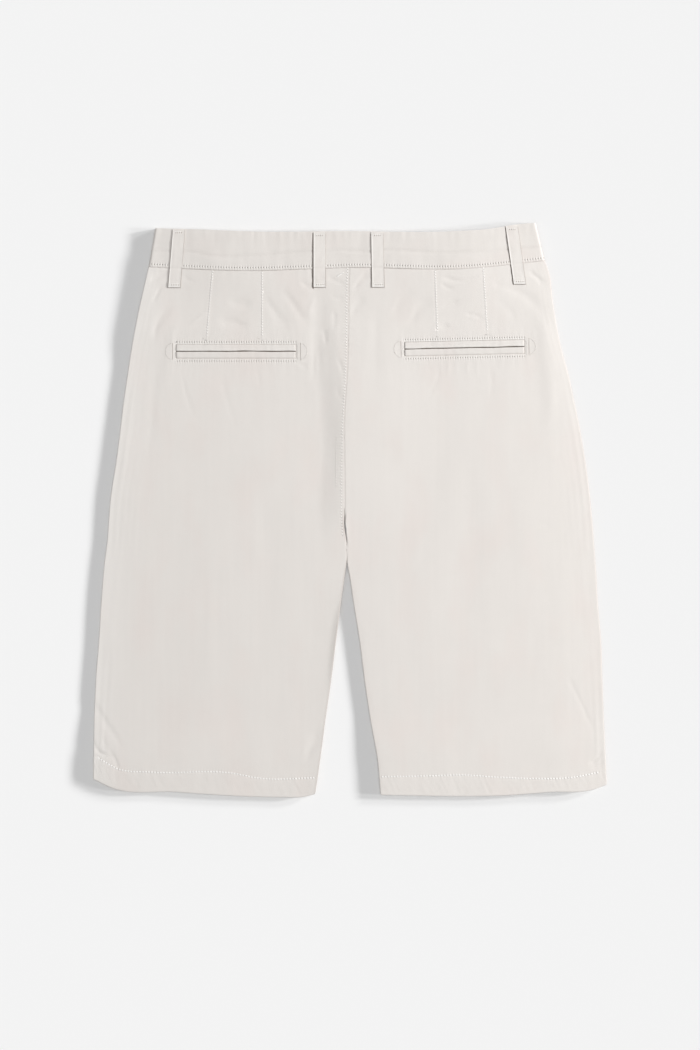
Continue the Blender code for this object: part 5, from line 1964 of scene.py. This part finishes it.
class ShortsStage(bpy.types.PropertyGroup):
    """Floor and light."""

    floor_size: length_setting("Floor size", "Side of the floor", 24.0, 2.0)
    floor_tone: setting("Floor tone", "Grey of the floor", 0.9, high=1.0)
    sky_strength: setting("Sky", "Light that comes from all round", 0.34)
    overhead_light: setting("Overhead light", "Brightness that the light from above adds", 0.26)
    overhead_spread: angle_setting("Overhead spread", "How wide the light from above looks", 50.0)
    floor_light: setting("Floor light", "Brightness that the low light adds to the floor", 0.4)
    floor_light_elevation: angle_setting("Floor light elevation", "Height of the low light", 10.3, 1.0)
    floor_light_spread: angle_setting("Floor light spread", "How wide the low light looks", 5.0)
    azimuth: angle_setting("Azimuth", "Turn of the low light from the right", 11.0, -180.0, 180.0)
    cloth_light: setting("Cloth light", "Brightness that the soft light adds to the cloth", 0.415)
    cloth_light_elevation: angle_setting("Cloth light elevation", "Height of the soft light", 29.0, 1.0)
    cloth_azimuth: angle_setting("Cloth light azimuth", "Turn of the soft light", 17.0, -180.0, 180.0)
    cloth_light_distance: length_setting("Cloth light distance", "How far away it is", 3.3, 0.5)
    cloth_light_size: length_setting("Cloth light size", "Width of the soft light", 0.7, 0.05)


class SHORTS_OT_front_panels(bpy.types.Operator):
    """Make the two front panels, which lie on the floor"""

    bl_idname = "shorts.front_panels"
    bl_label = "Front Panels"

    def execute(self, context):
        materials = cloth_materials(context)
        for leg in LEGS:
            make_panel(leg, FRONT, materials)
        return {"FINISHED"}


class SHORTS_OT_back_panels(bpy.types.Operator):
    """Make the two back panels with their folds, darts and pocket windows"""

    bl_idname = "shorts.back_panels"
    bl_label = "Back Panels"

    def execute(self, context):
        materials = cloth_materials(context)
        for leg in LEGS:
            make_panel(leg, BACK, materials)
        return {"FINISHED"}


class SHORTS_OT_waistband(bpy.types.Operator):
    """Make the waistband that runs round the waist and laps at the fly"""

    bl_idname = "shorts.waistband"
    bl_label = "Waistband"

    def execute(self, context):
        make_waistband(cloth_materials(context))
        return {"FINISHED"}


class SHORTS_OT_belt_loops(bpy.types.Operator):
    """Make the six belt loops"""

    bl_idname = "shorts.belt_loops"
    bl_label = "Belt Loops"

    def execute(self, context):
        materials = cloth_materials(context)
        for loop in LOOPS:
            make_loop(loop, materials)
        return {"FINISHED"}


class SHORTS_OT_pockets(bpy.types.Operator):
    """Make the welts and the facings of the two back pockets"""

    bl_idname = "shorts.pockets"
    bl_label = "Back Pockets"

    def execute(self, context):
        materials = cloth_materials(context)
        for pocket in POCKETS:
            make_facing(pocket, materials)
            for word in ("upper", "lower"):
                make_lip(pocket, word, materials)
        return {"FINISHED"}


class SHORTS_OT_fastenings(bpy.types.Operator):
    """Make the zip and the waist button"""

    bl_idname = "shorts.fastenings"
    bl_label = "Zip and Button"

    def execute(self, context):
        materials = cloth_materials(context)
        make_zip(materials)
        make_button(materials)
        return {"FINISHED"}


class SHORTS_OT_stitching(bpy.types.Operator):
    bl_idname = "shorts.stitching"
    bl_label = "Stitching"

    def execute(self, context):
        materials = cloth_materials(context)
        for sew in (sew_waist, sew_loops, sew_centre_back, sew_darts, sew_pockets, sew_hems, sew_fly):
            sew(materials)
        declare_sheets()
        return {"FINISHED"}


class SHORTS_OT_stage(bpy.types.Operator):
    """Make the floor, the lights and the camera"""

    bl_idname = "shorts.stage"
    bl_label = "Stage"

    def execute(self, context):
        make_stage(context)
        return {"FINISHED"}


OPERATORS = (
    SHORTS_OT_stage,
    SHORTS_OT_front_panels,
    SHORTS_OT_back_panels,
    SHORTS_OT_waistband,
    SHORTS_OT_belt_loops,
    SHORTS_OT_pockets,
    SHORTS_OT_fastenings,
    SHORTS_OT_stitching,
)


class SHORTS_PT_sidebar(bpy.types.Panel):
    """Lists the steps and the values they use"""

    bl_idname = "SHORTS_PT_sidebar"
    bl_label = "Bermuda Shorts"
    bl_space_type = "VIEW_3D"
    bl_region_type = "UI"
    bl_category = "Shorts"

    def draw(self, context):
        for settings in (context.scene.shorts_colours, context.scene.shorts_stage):
            box = self.layout.box()
            for name in settings.__annotations__:
                box.prop(settings, name)
        for operator in OPERATORS:
            self.layout.operator(operator.bl_idname)


CLASSES = (ShortsColours, ShortsStage, *OPERATORS, SHORTS_PT_sidebar)


def register():
    for cls in CLASSES:
        bpy.utils.register_class(cls)
    bpy.types.Scene.shorts_colours = PointerProperty(type=ShortsColours)
    bpy.types.Scene.shorts_stage = PointerProperty(type=ShortsStage)


def unregister():
    del bpy.types.Scene.shorts_stage
    del bpy.types.Scene.shorts_colours
    for cls in reversed(CLASSES):
        bpy.utils.unregister_class(cls)


def main():
    register()
    for operator in OPERATORS:
        group, name = operator.bl_idname.split(".")
        getattr(getattr(bpy.ops, group), name)()


if __name__ == "__main__":
    main()
